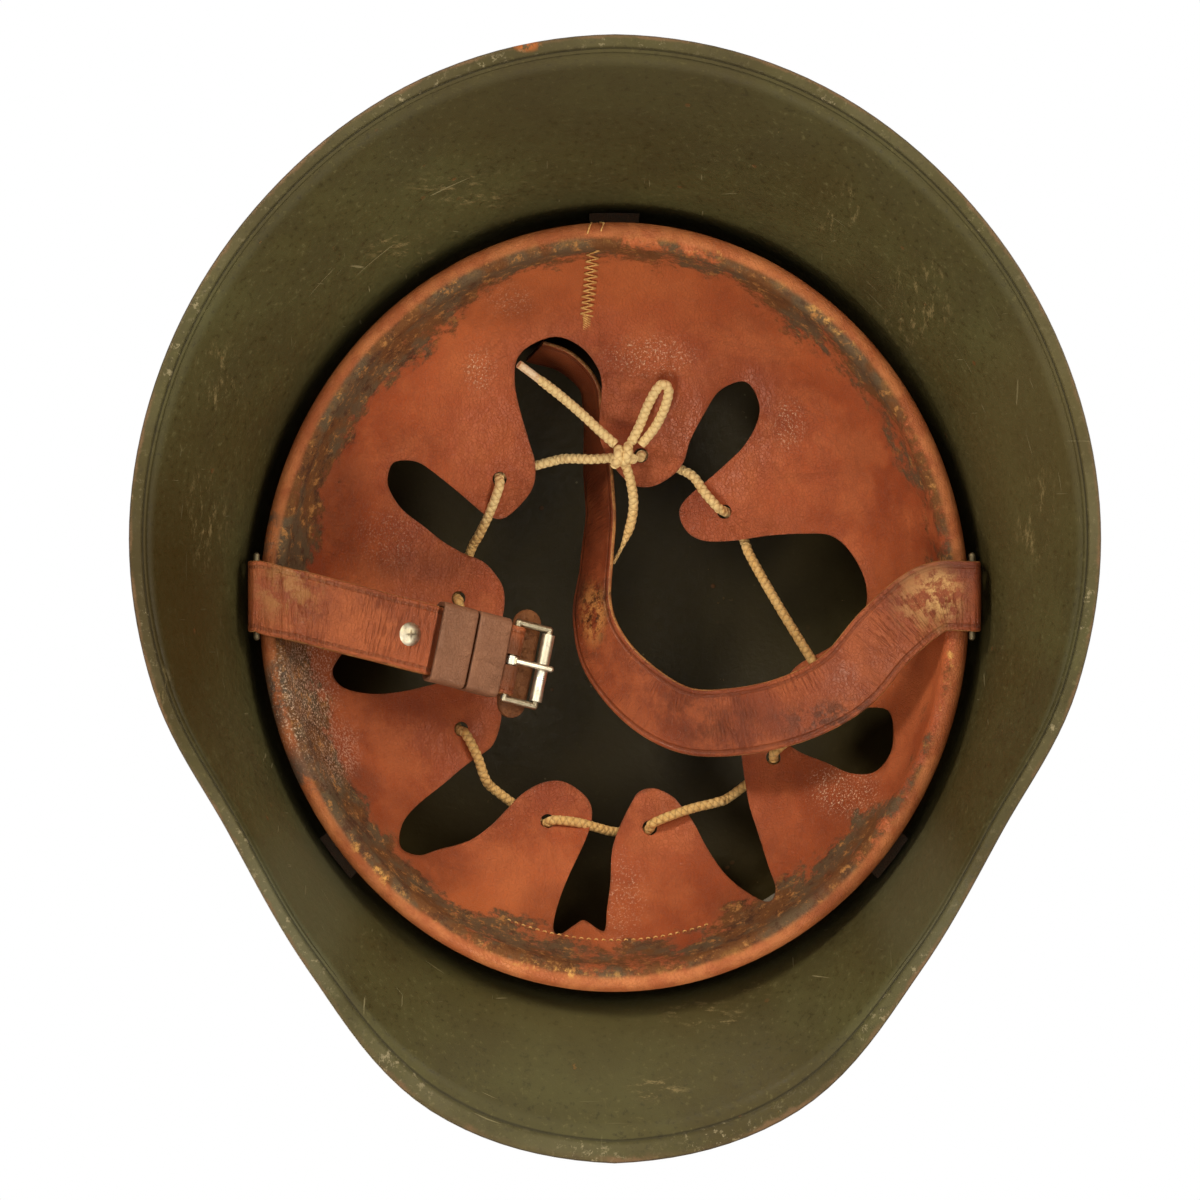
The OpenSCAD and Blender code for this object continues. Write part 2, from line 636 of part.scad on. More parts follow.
// Rivet through both layers of the strap, its head on the side that shows
module strap_rivet() {
    head_h = strap_rivet_d * 0.2;
    head_r = ball_r(strap_rivet_d, head_h);
    burr_t = 0.6;
    front = -1.5 * strap_t - fit;
    back = strap_t / 2 + fit;
    color("silver") on_strap() translate([rivet_u, 0, 0]) {
        intersection() {
            translate([0, 0, front - head_h + head_r]) sphere(head_r, $fn = 64);
            translate([0, 0, front - head_h]) cylinder(d = strap_rivet_d, h = head_h, $fn = 48);
        }
        translate([0, 0, front - head_h / 2])
            cylinder(d = strap_shank_d, h = back - front + head_h / 2 + burr_t / 2, $fn = 32);
        translate([0, 0, back]) cylinder(d = 2 * strap_shank_d, h = burr_t, $fn = 32);
    }
}

// Play between the strap's edges and its keepers
keeper_play = 0.3;
// Leather band round the strap, from w0 to w1 inside
module keeper(u, w0, w1) {
    half = strap_w / 2 + keeper_play;
    translate([u, 0, 0]) rotate([90, 0, 90]) linear_extrude(keeper_w) difference() {
        keeper_outline(half + keeper_t, w0 - keeper_t, w1 + keeper_t, keeper_t);
        translate([-half, w0]) square([2 * half, w1 - w0]);
    }
}
// Rectangle with round corners of radius r, from lines and circles
module keeper_outline(half, w0, w1, r) {
    translate([-half + r, w0]) square([2 * half - 2 * r, w1 - w0]);
    translate([-half, w0 + r]) square([2 * half, w1 - w0 - 2 * r]);
    for (x = [-half + r, half - r], y = [w0 + r, w1 - r])
        translate([x, y]) circle(r, $fn = 32);
}
module sliding_keeper() {
    color("rosybrown") on_strap() keeper(slide_u, -1.5 * strap_t - soft_fit, strap_t / 2 + soft_fit);
}
module fixed_keeper() {
    color("rosybrown") on_strap()
        keeper(fixed_u, -1.5 * strap_t - soft_fit, guard_w0 + strap_t + soft_fit);
}

// Tongue behind the buckle, with a lobe on each side
module buckle_guard() {
    lobe_r = 4.5;
    lobe_u = hinge_u + 4.5;
    color("saddlebrown") on_strap() translate([0, 0, guard_w0]) linear_extrude(strap_t) union() {
        translate([fixed_u + keeper_play, keeper_play - strap_w / 2])
            square([lobe_u - fixed_u, strap_w - 2 * keeper_play]);
        translate([lobe_u - lobe_r, -guard_w / 2 + lobe_r]) square([2 * lobe_r, guard_w - 2 * lobe_r]);
        for (side = [-1, 1]) translate([lobe_u, side * (guard_w / 2 - lobe_r)]) circle(lobe_r, $fn = 48);
    }
}

// Wire frame of the buckle, hinged at its near bar
arm_v = strap_w / 2 + buckle_wire_d / 2 + keeper_play;
module buckle_frame() {
    color("silver") on_strap() translate([hinge_u, 0, hinge_w])
        wire_rectangle(roller_u - hinge_u, arm_v, buckle_wire_d);
}
module buckle_roller() {
    color("lightgray") on_strap() translate([roller_u, 0, hinge_w]) rotate([90, 0, 0]) difference() {
        cylinder(d = roller_d, h = 2 * arm_v - buckle_wire_d - 0.8, center = true, $fn = 48);
        cylinder(d = buckle_wire_d + 2 * bar_fit, h = 40, center = true, $fn = 48);
    }
}
// Prong: an eye round the near bar and a pin that rests on the roller
module buckle_prong() {
    pin_r = 0.9;
    tip = [roller_u + 1.2, 0, hinge_w - roller_d / 2 - pin_r - 0.25];
    root = [hinge_u + 0.6, 0, hinge_w - buckle_wire_d / 2 - bar_fit - pin_r + 0.2];
    eye_d = buckle_wire_d + 2 * bar_fit + 2 * pin_r;
    color("silver") on_strap() difference() {
        union() {
            translate([hinge_u, 0, hinge_w]) rotate([90, 0, 0])
                cylinder(d = eye_d, h = prong_w, center = true, $fn = 48);
            translate(root) rotate([0, atan2(tip[0] - root[0], tip[2] - root[2]), 0]) {
                cylinder(r = pin_r, h = norm(tip - root), $fn = 32);
                translate([0, 0, norm(tip - root)]) sphere(pin_r, $fn = 32);
            }
        }
        translate([hinge_u, 0, hinge_w]) rotate([90, 0, 0])
            cylinder(d = buckle_wire_d + 2 * bar_fit, h = 20, center = true, $fn = 48);
    }
}

// Tail strap: the middle line of its curl, from its bar and then over the liner
tail_start = [[1.8, 0.4, 0], [11.8, -1, 3], [23.8, -11, 8], [34.8, -24, 14], [48.8, -32, 22]];
tail_rest = [[-36, -33, 85], [-21, -33, 93], [-8, -26, 100], [2.6, -14, 107],
    [6.4, -1, 112.5], [5, 14, 118], [4, 29, 124], [5, 44, 130], [6, 57, 132],
    [7.5, 66, 131], [14.5, 73, 129], [23.5, 76, 127]];
tail_route = concat([for (p = tail_start) [-bar_x, loop_y, bar_z] + p], tail_rest);
// Its roll about that line, in degrees, and its layers of leather
tail_roll = [0, 0, 0, 0, 0, -8, -16, -26, -44, -62, -72, -78, -82, -82, -80, -78, -76];
tail_thick = [2, 2, 2, 1.4, 1, 1, 1, 1, 1, 1, 1, 1, 1, 1, 1, 1, 1];
module strap_right() {
    last = len(tail_route) - 1;
    sections = [for (i = [0:last - 1], s = (i == last - 1) ? [0, 0.5, 1] : [0, 0.5])
        let (
            p = station(tail_route, i + s),
            ahead = station(tail_route, min(last, i + s + 0.05)),
            behind = station(tail_route, max(0, i + s - 0.05)),
            t = unit(ahead - behind),
            flat = i + s < 0.8 ? [0, 1, 0] : unit(cross(t, [0, 0, 1])),
            across0 = flat[1] * t[0] > 0 ? -flat : flat,
            face = unit(cross(across0, t)),
            roll = station(tail_roll, i + s),
            across = cos(roll) * across0 + sin(roll) * face,
            out = unit(cross(across, t)),
            w = strap_w / 2,
            h = strap_t * station(tail_thick, i + s) / 2
        )
        [p - w * across - h * out, p + w * across - h * out,
         p + w * across + h * out, p - w * across + h * out]];
    color("peru") difference() {
        union() {
            skin_block(sections);
            translate([-bar_x, loop_y, bar_z]) rotate([90, 0, 0])
                cylinder(r = eye_r, h = strap_w, center = true, $fn = 48);
        }
        translate([-bar_x, 0, bar_z]) rotate([90, 0, 0])
            cylinder(d = loop_wire_d + 2 * bar_fit, h = 4 * loop_half, center = true, $fn = 32);
    }
}

// Cords: a tube of 8 sides along hand-chosen points
module tube(points, d) {
    last = len(points) - 1;
    rings = [for (i = [0:last])
        let (
            t = unit(points[min(last, i + 1)] - points[max(0, i - 1)]),
            side = unit(cross(t, abs(t[2]) > 0.9 ? [1, 0, 0] : [0, 0, 1])),
            up = cross(side, t)
        )
        [for (k = [0:7]) points[i] + d / 2 * (cos(45 * k) * side + sin(45 * k) * up)]];
    skin(rings, points[0], points[last]);
}

// The lacing: out of a hole, over the gap, behind the next finger, up its hole
cord_play = 0.35;
cord_front = -cord_d / 2 - cord_play;
cord_back = leather_t + cord_d / 2 + cord_play;
function toward(a, b, d) = a + d * unit(b - a);
function lace_leg(i) =
    let (
        a = i == 0 ? lace_start : lace_holes[i - 1],
        g = lace_gaps[i],
        b = lace_holes[i]
    )
    [lift_point(toward(a, g, 2), cord_front), lift_point(0.4 * a + 0.6 * g, cord_front + 0.2),
        lift_point(g, leather_t / 2), lift_point(toward(g, b, 4.5), cord_back),
        lift_point(toward(b, g, 2), cord_back), lift_point(b, leather_t / 2)];
lace_start = [-2, 44.5];
module drawcord() {
    last = len(lace_holes) - 1;
    color("wheat") tube(concat([for (i = [0:last]) each lace_leg(i)],
        [lift_point(lace_holes[last], cord_front)]), cord_d);
}

knot_at = [-3, 44.5, 107];
module cord_knot() {
    color("wheat") translate(knot_at) {
        sphere(r = 2.9, $fn = 32);
        for (turn = [[70, 0, 40], [60, 10, 130]])
            rotate(turn) rotate_extrude($fn = 32) translate([2.6, 0]) circle(d = cord_d, $fn = 24);
    }
}

bow_route = [[-5, 48, 107], [-7.5, 53, 106], [-10, 59, 103.5], [-12.5, 63.5, 101.5],
    [-14.5, 65, 100.8], [-16, 63, 101.5], [-14.8, 58, 103.5], [-12, 52.5, 106], [-8, 47.5, 107.5]];
long_end_route = [[-0.5, 47.5, 107], [4, 51.5, 107], [10, 57, 105.5], [16, 62, 102.5], [22, 66.5, 99.5],
    [27.5, 70.5, 96.5]];
short_end_route = [[-3.3, 42.2, 107.6], [-5, 36.5, 109.3], [-5.8, 30.5, 111.3], [-5, 24.5, 113],
    [-2.8, 18.5, 114], [0.2, 12.8, 114.4]];
module cord_bow() { color("wheat") tube(bow_route, cord_d); }
module cord_end_long() { color("wheat") tube(long_end_route, cord_d); }
module cord_end_short() { color("wheat") tube(short_end_route, cord_d); }

shell();
vent_bush_left();
vent_bush_right();
liner_rivet_left();
liner_rivet_right();
liner_rivet_rear();
washer_left();
washer_right();
washer_rear();
pad_left();
pad_right();
pad_rear();
liner_band();
liner_felt();
liner_leather();
lug_left();
lug_right();
loop_left();
loop_right();
strap_left();
strap_rivet();
sliding_keeper();
fixed_keeper();
buckle_guard();
buckle_frame();
buckle_roller();
buckle_prong();
strap_right();
drawcord();
cord_knot();
cord_bow();
cord_end_long();
cord_end_short();
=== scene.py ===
# %% [markdown]
# # A steel helmet with a laced leather liner
# The packed model gives the frame: the places and sizes of all the pieces.
# This lesson dresses it. Hard pieces keep their shape and get a finish. Soft
# pieces, such as the liner, the straps and the cord, are modelled again with
# more form, and each new piece stands for its plain solid.

# %% Load the frame
from math import pi, sin, cos, tan, atan2, hypot, radians, degrees
import bpy
import bmesh
from mathutils import Vector, Matrix, noise
from mathutils.kdtree import KDTree


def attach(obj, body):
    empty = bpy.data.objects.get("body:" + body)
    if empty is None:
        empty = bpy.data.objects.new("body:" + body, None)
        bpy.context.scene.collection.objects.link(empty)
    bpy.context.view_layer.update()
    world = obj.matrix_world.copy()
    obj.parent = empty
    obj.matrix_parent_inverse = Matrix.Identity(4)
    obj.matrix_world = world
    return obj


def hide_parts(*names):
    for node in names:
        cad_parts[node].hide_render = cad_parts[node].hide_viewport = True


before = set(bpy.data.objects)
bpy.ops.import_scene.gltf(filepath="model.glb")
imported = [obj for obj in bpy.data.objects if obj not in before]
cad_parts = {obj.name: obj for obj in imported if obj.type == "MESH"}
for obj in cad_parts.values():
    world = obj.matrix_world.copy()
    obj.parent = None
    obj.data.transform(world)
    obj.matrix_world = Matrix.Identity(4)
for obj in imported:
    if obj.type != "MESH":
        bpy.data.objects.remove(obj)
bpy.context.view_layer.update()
MM = 0.001

# %% [markdown]
# ## Camera
# The photograph looks straight into the helmet from below, with the visor at
# the bottom. A long lens keeps the rim and the liner in their real sizes. A
# camera looks along its own -Z, so half a turn about Y makes it look up.

# %% Place the camera
SENSOR_MM, FRAME_PX = 36, 1200
PIXEL_AT_1M = 0.000216  # what one pixel covers at one metre, in metres
CAMERA_AT = (4.05, 2, -1250)
camera_data = bpy.data.cameras.new("camera")
camera_data.sensor_fit = "HORIZONTAL"
camera_data.sensor_width = SENSOR_MM
camera_data.lens = SENSOR_MM / (FRAME_PX * PIXEL_AT_1M)
camera_data.clip_end = 10
camera = bpy.data.objects.new("camera", camera_data)
camera.location = [c * MM for c in CAMERA_AT]
camera.rotation_euler = (0, pi, 0)
bpy.context.scene.collection.objects.link(camera)
bpy.context.scene.camera = camera
print("lens", round(camera_data.lens, 1), "mm")

# %% [markdown]
# ## Smooth lines through chosen points
# Cords and straps follow a few given points. A cubic between each pair of points keeps the line smooth and passes
# through all of them, which a curve with free handles would not do without hand work.

# %% A smooth line
def cubic(a, b, c, d, f):
    """The smooth way from b to c at share f of it, where a lies before them and d after."""
    return b + f * ((c - a) / 2 + f * (a - 2.5 * b + 2 * c - d / 2
                    + f * (1.5 * b - 1.5 * c + (d - a) / 2)))


def smooth_line(points, steps):
    """Points on a smooth line through the given points, with steps to each stretch."""
    pts = [Vector(p) for p in points]
    line = []
    for i, (b, c) in enumerate(zip(pts, pts[1:])):
        a, d = pts[max(0, i - 1)], pts[min(len(pts) - 1, i + 2)]
        line += [cubic(a, b, c, d, s / steps) for s in range(steps)]
    line.append(pts[-1])
    return line


def station(values, t):
    """One value of an evenly spaced list, at a place between its entries."""
    i = min(len(values) - 2, max(0, int(t)))
    return cubic(values[max(0, i - 1)], values[i], values[i + 1], values[min(len(values) - 1, i + 2)], t - i)


print("a line of 3 points and 4 steps has", len(smooth_line([(0, 0, 0), (1, 0, 0), (1, 1, 0)], 4)), "points")

# %% [markdown]
# ## Sweeping a section along a line
# A cord, a strap and a keeper are all one section carried along a line. At each
# point of the line the section needs a frame: where it is, which way is across
# and which way is out. Carrying the way across from point to point keeps the
# tube from twisting.

# %% Frames along a line
def frames_along(line, up):
    """A frame (place, across, out) at each point of a line, with no twist of its own."""
    frames = []
    side = None
    for i, p in enumerate(line):
        t = (line[min(len(line) - 1, i + 1)] - line[max(0, i - 1)]).normalized()
        if side is None:
            side = t.cross(Vector(up)).normalized()
        side = (side - t * side.dot(t)).normalized()
        frames.append((p, side, side.cross(t).normalized()))
    return frames


print("a frame of a line along X:", frames_along([Vector((0, 0, 0)), Vector((1, 0, 0))], (0, 0, 1))[0])

# %% [markdown]
# The first section is a ring of vertices. Extruding its edges makes the next
# ring, which is moved to its own place, so the tube grows as it does by hand in
# Edit Mode. Each face also gets UV coordinates: U runs along the piece in metres
# and V goes once round it, so that a weave or a stitch row can follow it.

# %% Sweep helper
def sweep(frames, sections, closed=False):
    """A bmesh of the sections carried along the frames. A section is a list of (across, out)."""
    bm = bmesh.new()
    uv = bm.loops.layers.uv.new("along")
    count = len(sections[0])
    places = []
    length = 0.0
    for i, (p, across, out) in enumerate(frames):
        if i:
            length += (p - frames[i - 1][0]).length
        places.append(([p + a * across + b * out for a, b in sections[i % len(sections)]], length))
    ring = [bm.verts.new(v) for v in places[0][0]]
    edges = [bm.edges.new((ring[k], ring[(k + 1) % count])) for k in range(count)]
    first, rings = ring, [ring]
    for verts, _ in places[1:]:
        grown = bmesh.ops.extrude_edge_only(bm, edges=edges)["geom"]
        edges_new, ring_new = [], [None] * count
        for k in range(count):
            for e in ring[k].link_edges:
                other = e.other_vert(ring[k])
                if other not in ring and other in grown:
                    ring_new[k] = other
        for k in range(count):
            ring_new[k].co = verts[k]
            edges_new.append(bm.edges.get((ring_new[k], ring_new[(k + 1) % count])))
        ring, edges = ring_new, edges_new
        rings.append(ring)
    if closed:
        first_edges = [bm.edges.get((first[k], first[(k + 1) % count])) for k in range(count)]
        bmesh.ops.bridge_loops(bm, edges=edges + first_edges)
    else:
        bm.faces.new(first)
        bm.faces.new(list(reversed(ring)))
    where = {v: (i, k) for i, r in enumerate(rings) for k, v in enumerate(r)}
    for f in bm.faces:
        ks = [where[l.vert][1] for l in f.loops]
        wraps = max(ks) - min(ks) > count / 2 and len(ks) == 4
        for l in f.loops:
            i, k = where[l.vert]
            l[uv].uv = (places[i][1], (k + (count if wraps and k == 0 else 0)) / count)
    bmesh.ops.recalc_face_normals(bm, faces=bm.faces)
    return bm


print("a sweep needs frames and sections, and gives a bmesh")

# %% [markdown]
# Two sections serve nearly everything: a circle for cords and threads, and a
# strap's flat section, whose rounded edges catch the light as cut leather does.

# %% Sections
def round_section(diameter, sides):
    """A circle's points. sides is how many."""
    turns = [2 * pi * k / sides for k in range(sides)]
    return [(cos(a) * diameter / 2, sin(a) * diameter / 2) for a in turns]


def strap_section(width, thick, bulge=0.0):
    """A strap's section with rounded edges, and a crowned face where bulge is above 0."""
    r = min(thick * 0.42, 0.0009)
    out = []
    for cx, cy, start in ((width / 2 - r, thick / 2 - r, 0), (-width / 2 + r, thick / 2 - r, 90),
                          (-width / 2 + r, -thick / 2 + r, 180), (width / 2 - r, -thick / 2 + r, 270)):
        for turn in (0, 30, 60, 90):
            out.append((cx + r * cos(radians(start + turn)), cy + r * sin(radians(start + turn))))
        if start in (0, 180):
            sign = 1 if start == 0 else -1
            for f in (0.75, 0.5, 0.25, 0, -0.25, -0.5, -0.75):
                out.append((sign * f * (width / 2 - r), sign * (thick / 2 + bulge * (1 - f * f))))
    return out


print("a strap section has", len(strap_section(0.02, 0.0015)), "points")

# %% [markdown]
# ## Making finishes from nodes
# Every finish here is a shader with procedural nodes: no picture is used. Each
# node reads Object coordinates, which stay with the piece, or the UV map of a
# swept piece. Colours are written as a picture editor shows them, and turned
# into the shader's linear values.

# %% Colours
def srgb(r, g, b):
    """A colour as a picture editor shows it, from 0 to 255, as the shader wants it."""
    def lin(c):
        c = c / 255
        return c / 12.92 if c <= 0.04045 else ((c + 0.055) / 1.055) ** 2.4
    return (lin(r), lin(g), lin(b), 1)


print("olive as the shader wants it", [round(v, 3) for v in srgb(68, 62, 36)])

# %% [markdown]
# A node tree is a sheet of sums. The first class wraps one and has a method for
# each kind of sum, so that a pattern reads as a short formula. The world's tree
# uses it too.

# %% Nodes that count and blend
class Nodes:
    """A node tree, with one method for each kind of sum."""

    def __init__(self, tree):
        self.tree = tree

    def put(self, kind, **inputs):
        """A node of this kind, with its inputs set or linked."""
        node = self.tree.nodes.new(kind)
        for key, value in inputs.items():
            self.plug(node.inputs[key], value)
        return node

    def plug(self, socket, value):
        """Links a node's output to the socket, or sets a plain value."""
        if isinstance(value, bpy.types.NodeSocket):
            self.tree.links.new(value, socket)
        else:
            socket.default_value = value

    def calc(self, operation, a, b=0.0, c=0.0):
        """One Math node."""
        node = self.tree.nodes.new("ShaderNodeMath")
        node.operation = operation
        for socket, value in zip(node.inputs, (a, b, c)):
            self.plug(socket, value)
        return node.outputs[0]

    def times(self, a, b):
        return self.calc("MULTIPLY", a, b)

    def plus(self, a, b):
        return self.calc("ADD", a, b)

    def minus(self, a, b):
        return self.calc("SUBTRACT", a, b)

    def most(self, a, b):
        return self.calc("MAXIMUM", a, b)

    def fade(self, value, low, high, to_low=0.0, to_high=1.0):
        """A smooth step: to_low where the value is low, and to_high where it is high."""
        node = self.tree.nodes.new("ShaderNodeMapRange")
        node.interpolation_type = "SMOOTHSTEP"
        sockets = ("Value", "From Min", "From Max", "To Min", "To Max")
        for key, v in zip(sockets, (value, low, high, to_low, to_high)):
            self.plug(node.inputs[key], v)
        return node.outputs["Result"]

    def blend(self, share, a, b):
        """Colour a, with this share of colour b over it."""
        node = self.tree.nodes.new("ShaderNodeMix")
        node.data_type = "RGBA"
        for number, value in ((0, share), (6, a), (7, b)):
            self.plug(node.inputs[number], value)
        return node.outputs[2]

    def split(self, where):
        """The three coordinates of a place."""
        node = self.put("ShaderNodeSeparateXYZ", Vector=where)
        return node.outputs[0], node.outputs[1], node.outputs[2]


print("Nodes has", len([n for n in vars(Nodes) if not n.startswith("_")]), "methods")

# %% [markdown]
# A finish is a material whose tree ends in the Principled shader. Its methods
# make the patterns, such as noise and cells, and the relief. Wear that lies at
# a known place is a spot: an oval that fades out at its border.

# %% Finishes
class Finish(Nodes):
    """A material with its node tree, and one method for each pattern used here."""

    def __init__(self, name, roughness=0.5, metallic=0.0, specular=0.5):
        self.material = bpy.data.materials.new(name)
        self.material.use_nodes = True
        super().__init__(self.material.node_tree)
        self.shader = self.tree.nodes["Principled BSDF"]
        self.set(Roughness=roughness, Metallic=metallic, Specular_IOR_Level=specular)

    def set(self, **inputs):
        """Sets or links the shader's own sockets. An underscore stands for a space."""
        for key, value in inputs.items():
            self.plug(self.shader.inputs[key.replace("_", " ")], value)

    def place(self, scale=(1, 1, 1), shift=(0, 0, 0), turn=(0, 0, 0), source="Object"):
        """Coordinates for a pattern, scaled, moved and turned."""
        coord = self.tree.nodes.new("ShaderNodeTexCoord")
        mapping = self.tree.nodes.new("ShaderNodeMapping")
        self.tree.links.new(coord.outputs[source], mapping.inputs["Vector"])
        mapping.inputs["Location"].default_value = shift
        mapping.inputs["Rotation"].default_value = turn
        mapping.inputs["Scale"].default_value = scale
        return mapping.outputs["Vector"]

    def attribute(self, name):
        """A number that each vertex of the piece carries."""
        node = self.tree.nodes.new("ShaderNodeAttribute")
        node.attribute_name = name
        return node.outputs["Fac"]

    def noise(self, where, scale, detail=5.0, rough=0.6, distortion=0.0):
        """Cloudy noise, about 0.5 on average."""
        node = self.put("ShaderNodeTexNoise", Vector=where, Scale=scale, Detail=detail, Roughness=rough,
                        Distortion=distortion)
        return node.outputs["Fac"]

    def cells(self, where, scale, feature="F1"):
        """Distance to the middle of the nearest random cell, or to its edge."""
        node = self.put("ShaderNodeTexVoronoi", Vector=where, Scale=scale)
        node.feature = feature
        return node.outputs["Distance"]

    def bump(self, height, distance, strength=1.0, under=None):
        """Relief. under is a coarser relief that this one lies on."""
        node = self.put("ShaderNodeBump", Height=height, Distance=distance, Strength=strength)
        if under is not None:
            self.plug(node.inputs["Normal"], under)
        return node.outputs["Normal"]

    def spot(self, x, y, half_x, half_y):
        """1 at a place given in millimetres and 0 outside an oval round it."""
        where = self.place(scale=(1000 / half_x, 1000 / half_y, 0), shift=(-x / half_x, -y / half_y, 0))
        node = self.put("ShaderNodeVectorMath", Vector=where)
        node.operation = "LENGTH"
        return self.fade(node.outputs["Value"], 1.0, 0.3)

    def spots(self, places, least=0.0):
        """The strongest of several spots. A fifth number is that spot's own strength."""
        most = least
        for x, y, half_x, half_y, *strength in places:
            one = self.spot(x, y, half_x, half_y)
            most = self.most(most, self.times(one, strength[0]) if strength else one)
        return most

    def tinted(self, colour, places, mask=None):
        """The colour with a tone over it at each place, by its amount and by the mask."""
        for x, y, half_x, half_y, amount, tone in places:
            share = self.spot(x, y, half_x, half_y)
            share = share if mask is None else self.times(share, mask)
            colour = self.blend(self.times(share, amount), colour, srgb(*tone))
        return colour


print("Finish adds", len([n for n in vars(Finish) if not n.startswith("_")]), "methods")

# %% [markdown]
# ## Putting a piece in the scene
# Each new piece is one mesh whose place is in its vertices. It rides on a body
# of the packed model, and it stands for the plain solids that it replaces.

# %% Piece helper
def piece(name, bm, finish, body, stands_for=(), sharp_deg=None):
    """A finished piece from a bmesh. Edges that fold by more than sharp_deg stay sharp."""
    mesh = bpy.data.meshes.new(name)
    if sharp_deg is not None:
        for e in bm.edges:
            e.smooth = not (len(e.link_faces) == 2 and e.calc_face_angle() > radians(sharp_deg))
    for f in bm.faces:
        f.smooth = True
    bm.to_mesh(mesh)
    bm.free()
    mesh.materials.append(finish.material)
    obj = bpy.data.objects.new(name, mesh)
    bpy.context.scene.collection.objects.link(obj)
    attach(obj, body)
    if stands_for:
        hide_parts(*stands_for)
    print(name, "has", len(mesh.polygons), "faces")
    return obj


print("plain solids to dress:", len(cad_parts))

# %% [markdown]
# ## The drawcord
# The cord is plaited cotton, cream at the knot and golden brown where hands and hair have soiled it. A plait shows as
# two sets of strands that cross, so two slanted waves in the tube's own UV coordinates make its relief and colour. The
# gaps between the strands are darkened as painted shade.

# %% Cotton cord finish
PLAIT = 0.0019  # from strand to strand along the cord
cotton = Finish("cord_cotton", roughness=0.85, specular=0.15)
uv = cotton.place(source="UV")
along, around, _ = cotton.split(uv)
run = cotton.times(along, pi / PLAIT)
twist = cotton.times(around, 2 * pi)
one, other = cotton.plus(run, twist), cotton.minus(run, twist)
one_way = cotton.calc("ABSOLUTE", cotton.calc("SINE", one))
other_way = cotton.calc("ABSOLUTE", cotton.calc("SINE", other))
cell = cotton.plus(cotton.calc("FLOOR", cotton.calc("DIVIDE", one, pi)),
                   cotton.calc("FLOOR", cotton.calc("DIVIDE", other, pi)))
on_top = cotton.calc("PINGPONG", cell, 1.0)
strand_a = cotton.times(cotton.calc("POWER", one_way, 0.75), cotton.calc("POWER", other_way, 0.25))
strand_b = cotton.times(cotton.calc("POWER", other_way, 0.75), cotton.calc("POWER", one_way, 0.25))
plait = cotton.plus(cotton.times(strand_a, on_top),
                    cotton.times(strand_b, cotton.minus(1.0, on_top)))
lint = cotton.noise(cotton.place(), 1100, 4, 0.7)
soil = cotton.noise(cotton.place(), 45, 4, 0.65)
_, far_back, _ = cotton.split(cotton.place(scale=(1, 1000, 1)))
darker_share = cotton.plus(cotton.fade(far_back, 10, 42, 0.2, -0.12), soil)
clean = cotton.blend(cotton.fade(darker_share, 0.35, 0.68), srgb(242, 216, 166), srgb(216, 172, 108))
fluff = cotton.fade(lint, 0.3, 0.7)
# Painted shade in the gaps between the strands, deeper where the cord is soiled.
gap = cotton.fade(cotton.plus(plait, cotton.times(fluff, 0.3)), 0.2, 0.85, 0.55, 0.0)
gap_shade_colour = cotton.blend(cotton.fade(darker_share, 0.35, 0.6), srgb(188, 144, 90), srgb(132, 88, 46))
with_gap_shade = cotton.blend(gap, clean, gap_shade_colour)
cotton.set(Base_Color=cotton.blend(cotton.times(fluff, 0.3), with_gap_shade, srgb(248, 228, 184)))
relief = cotton.bump(plait, 0.0003, 0.7)
cotton.set(Normal=cotton.bump(lint, 0.00025, 0.7, relief))
print("a strand of the plait comes round every", 2000 * PLAIT, "mm")

# %% [markdown]
# The cord lies on the liner, so the liner's form comes first. It is a low oval
# dome over the bead. A power curve gives it a steep wall and a flat top, and a
# point can be lifted off it along its normal.

# %% Leather dome
HALF_W, HALF_L = 100.5, 109.0
MEAN = (HALF_W + HALF_L) / 2
BEAD_R, LEATHER_T, BEAD_MID = 3.65, 1.5, 57.5 + 3.65
LEATHER_R = MEAN - 2 * BEAD_R
DOME_RISE = 59.0
CORD_D = 2.8


def dome_z(p):
    return BEAD_MID + DOME_RISE * (1 - min(1, max(0, p)) ** 2.4) ** 0.62


def leather_z(x, y):
    return dome_z(min(0.999, hypot(x / HALF_W, y / HALF_L) * MEAN / LEATHER_R))


def leather_point(x, y, out):
    """A place over the leather's front face, lifted off it by out millimetres."""
    z, e = leather_z(x, y), 0.5
    n = Vector((-(leather_z(x + e, y) - z) / e, -(leather_z(x, y + e) - z) / e, 1)).normalized()
    return Vector((x, y, z)) + out * n


print("the dome's top is", round(dome_z(0), 1), "mm up")

# %% [markdown]
# The cord's route repeats the chosen points of the packed model, in
# millimetres. It comes up through a finger's hole, crosses the gap in front,
# drops behind the next finger, and so on round the liner.

# %% Route of the lacing
def line_length(line):
    return sum((b - a).length for a, b in zip(line, line[1:]))


def blend01(v):
    v = min(1, max(0, v))
    return v * v * (3 - 2 * v)


LACE_HOLES = [(33.5, 37.5), (46, 2.5), (45, -36), (19.5, -63), (-10.5, -64.5),
              (-46.5, -44), (-61.5, -20), (-32.5, 28), (-8, 44.5)]
LACE_GAPS = [(13, 43.5), (39.5, 21), (46, -18), (37.5, -50), (4.5, -64.5),
             (-30, -57), (-59, -33.5), (-40, 15), (-23.5, 38)]
LACE_START = (-2, 44.5)
CORD_CLEAR = 0.35
FRONT = -CORD_D / 2 - CORD_CLEAR
BACK = LEATHER_T + CORD_D / 2 + CORD_CLEAR
PAST_HOLE, PAST_EDGE = 2, 4.5


def toward(a, b, d):
    """The place at distance d from a on the way to b."""
    a, b = Vector(a), Vector(b)
    return a + d * (b - a).normalized()


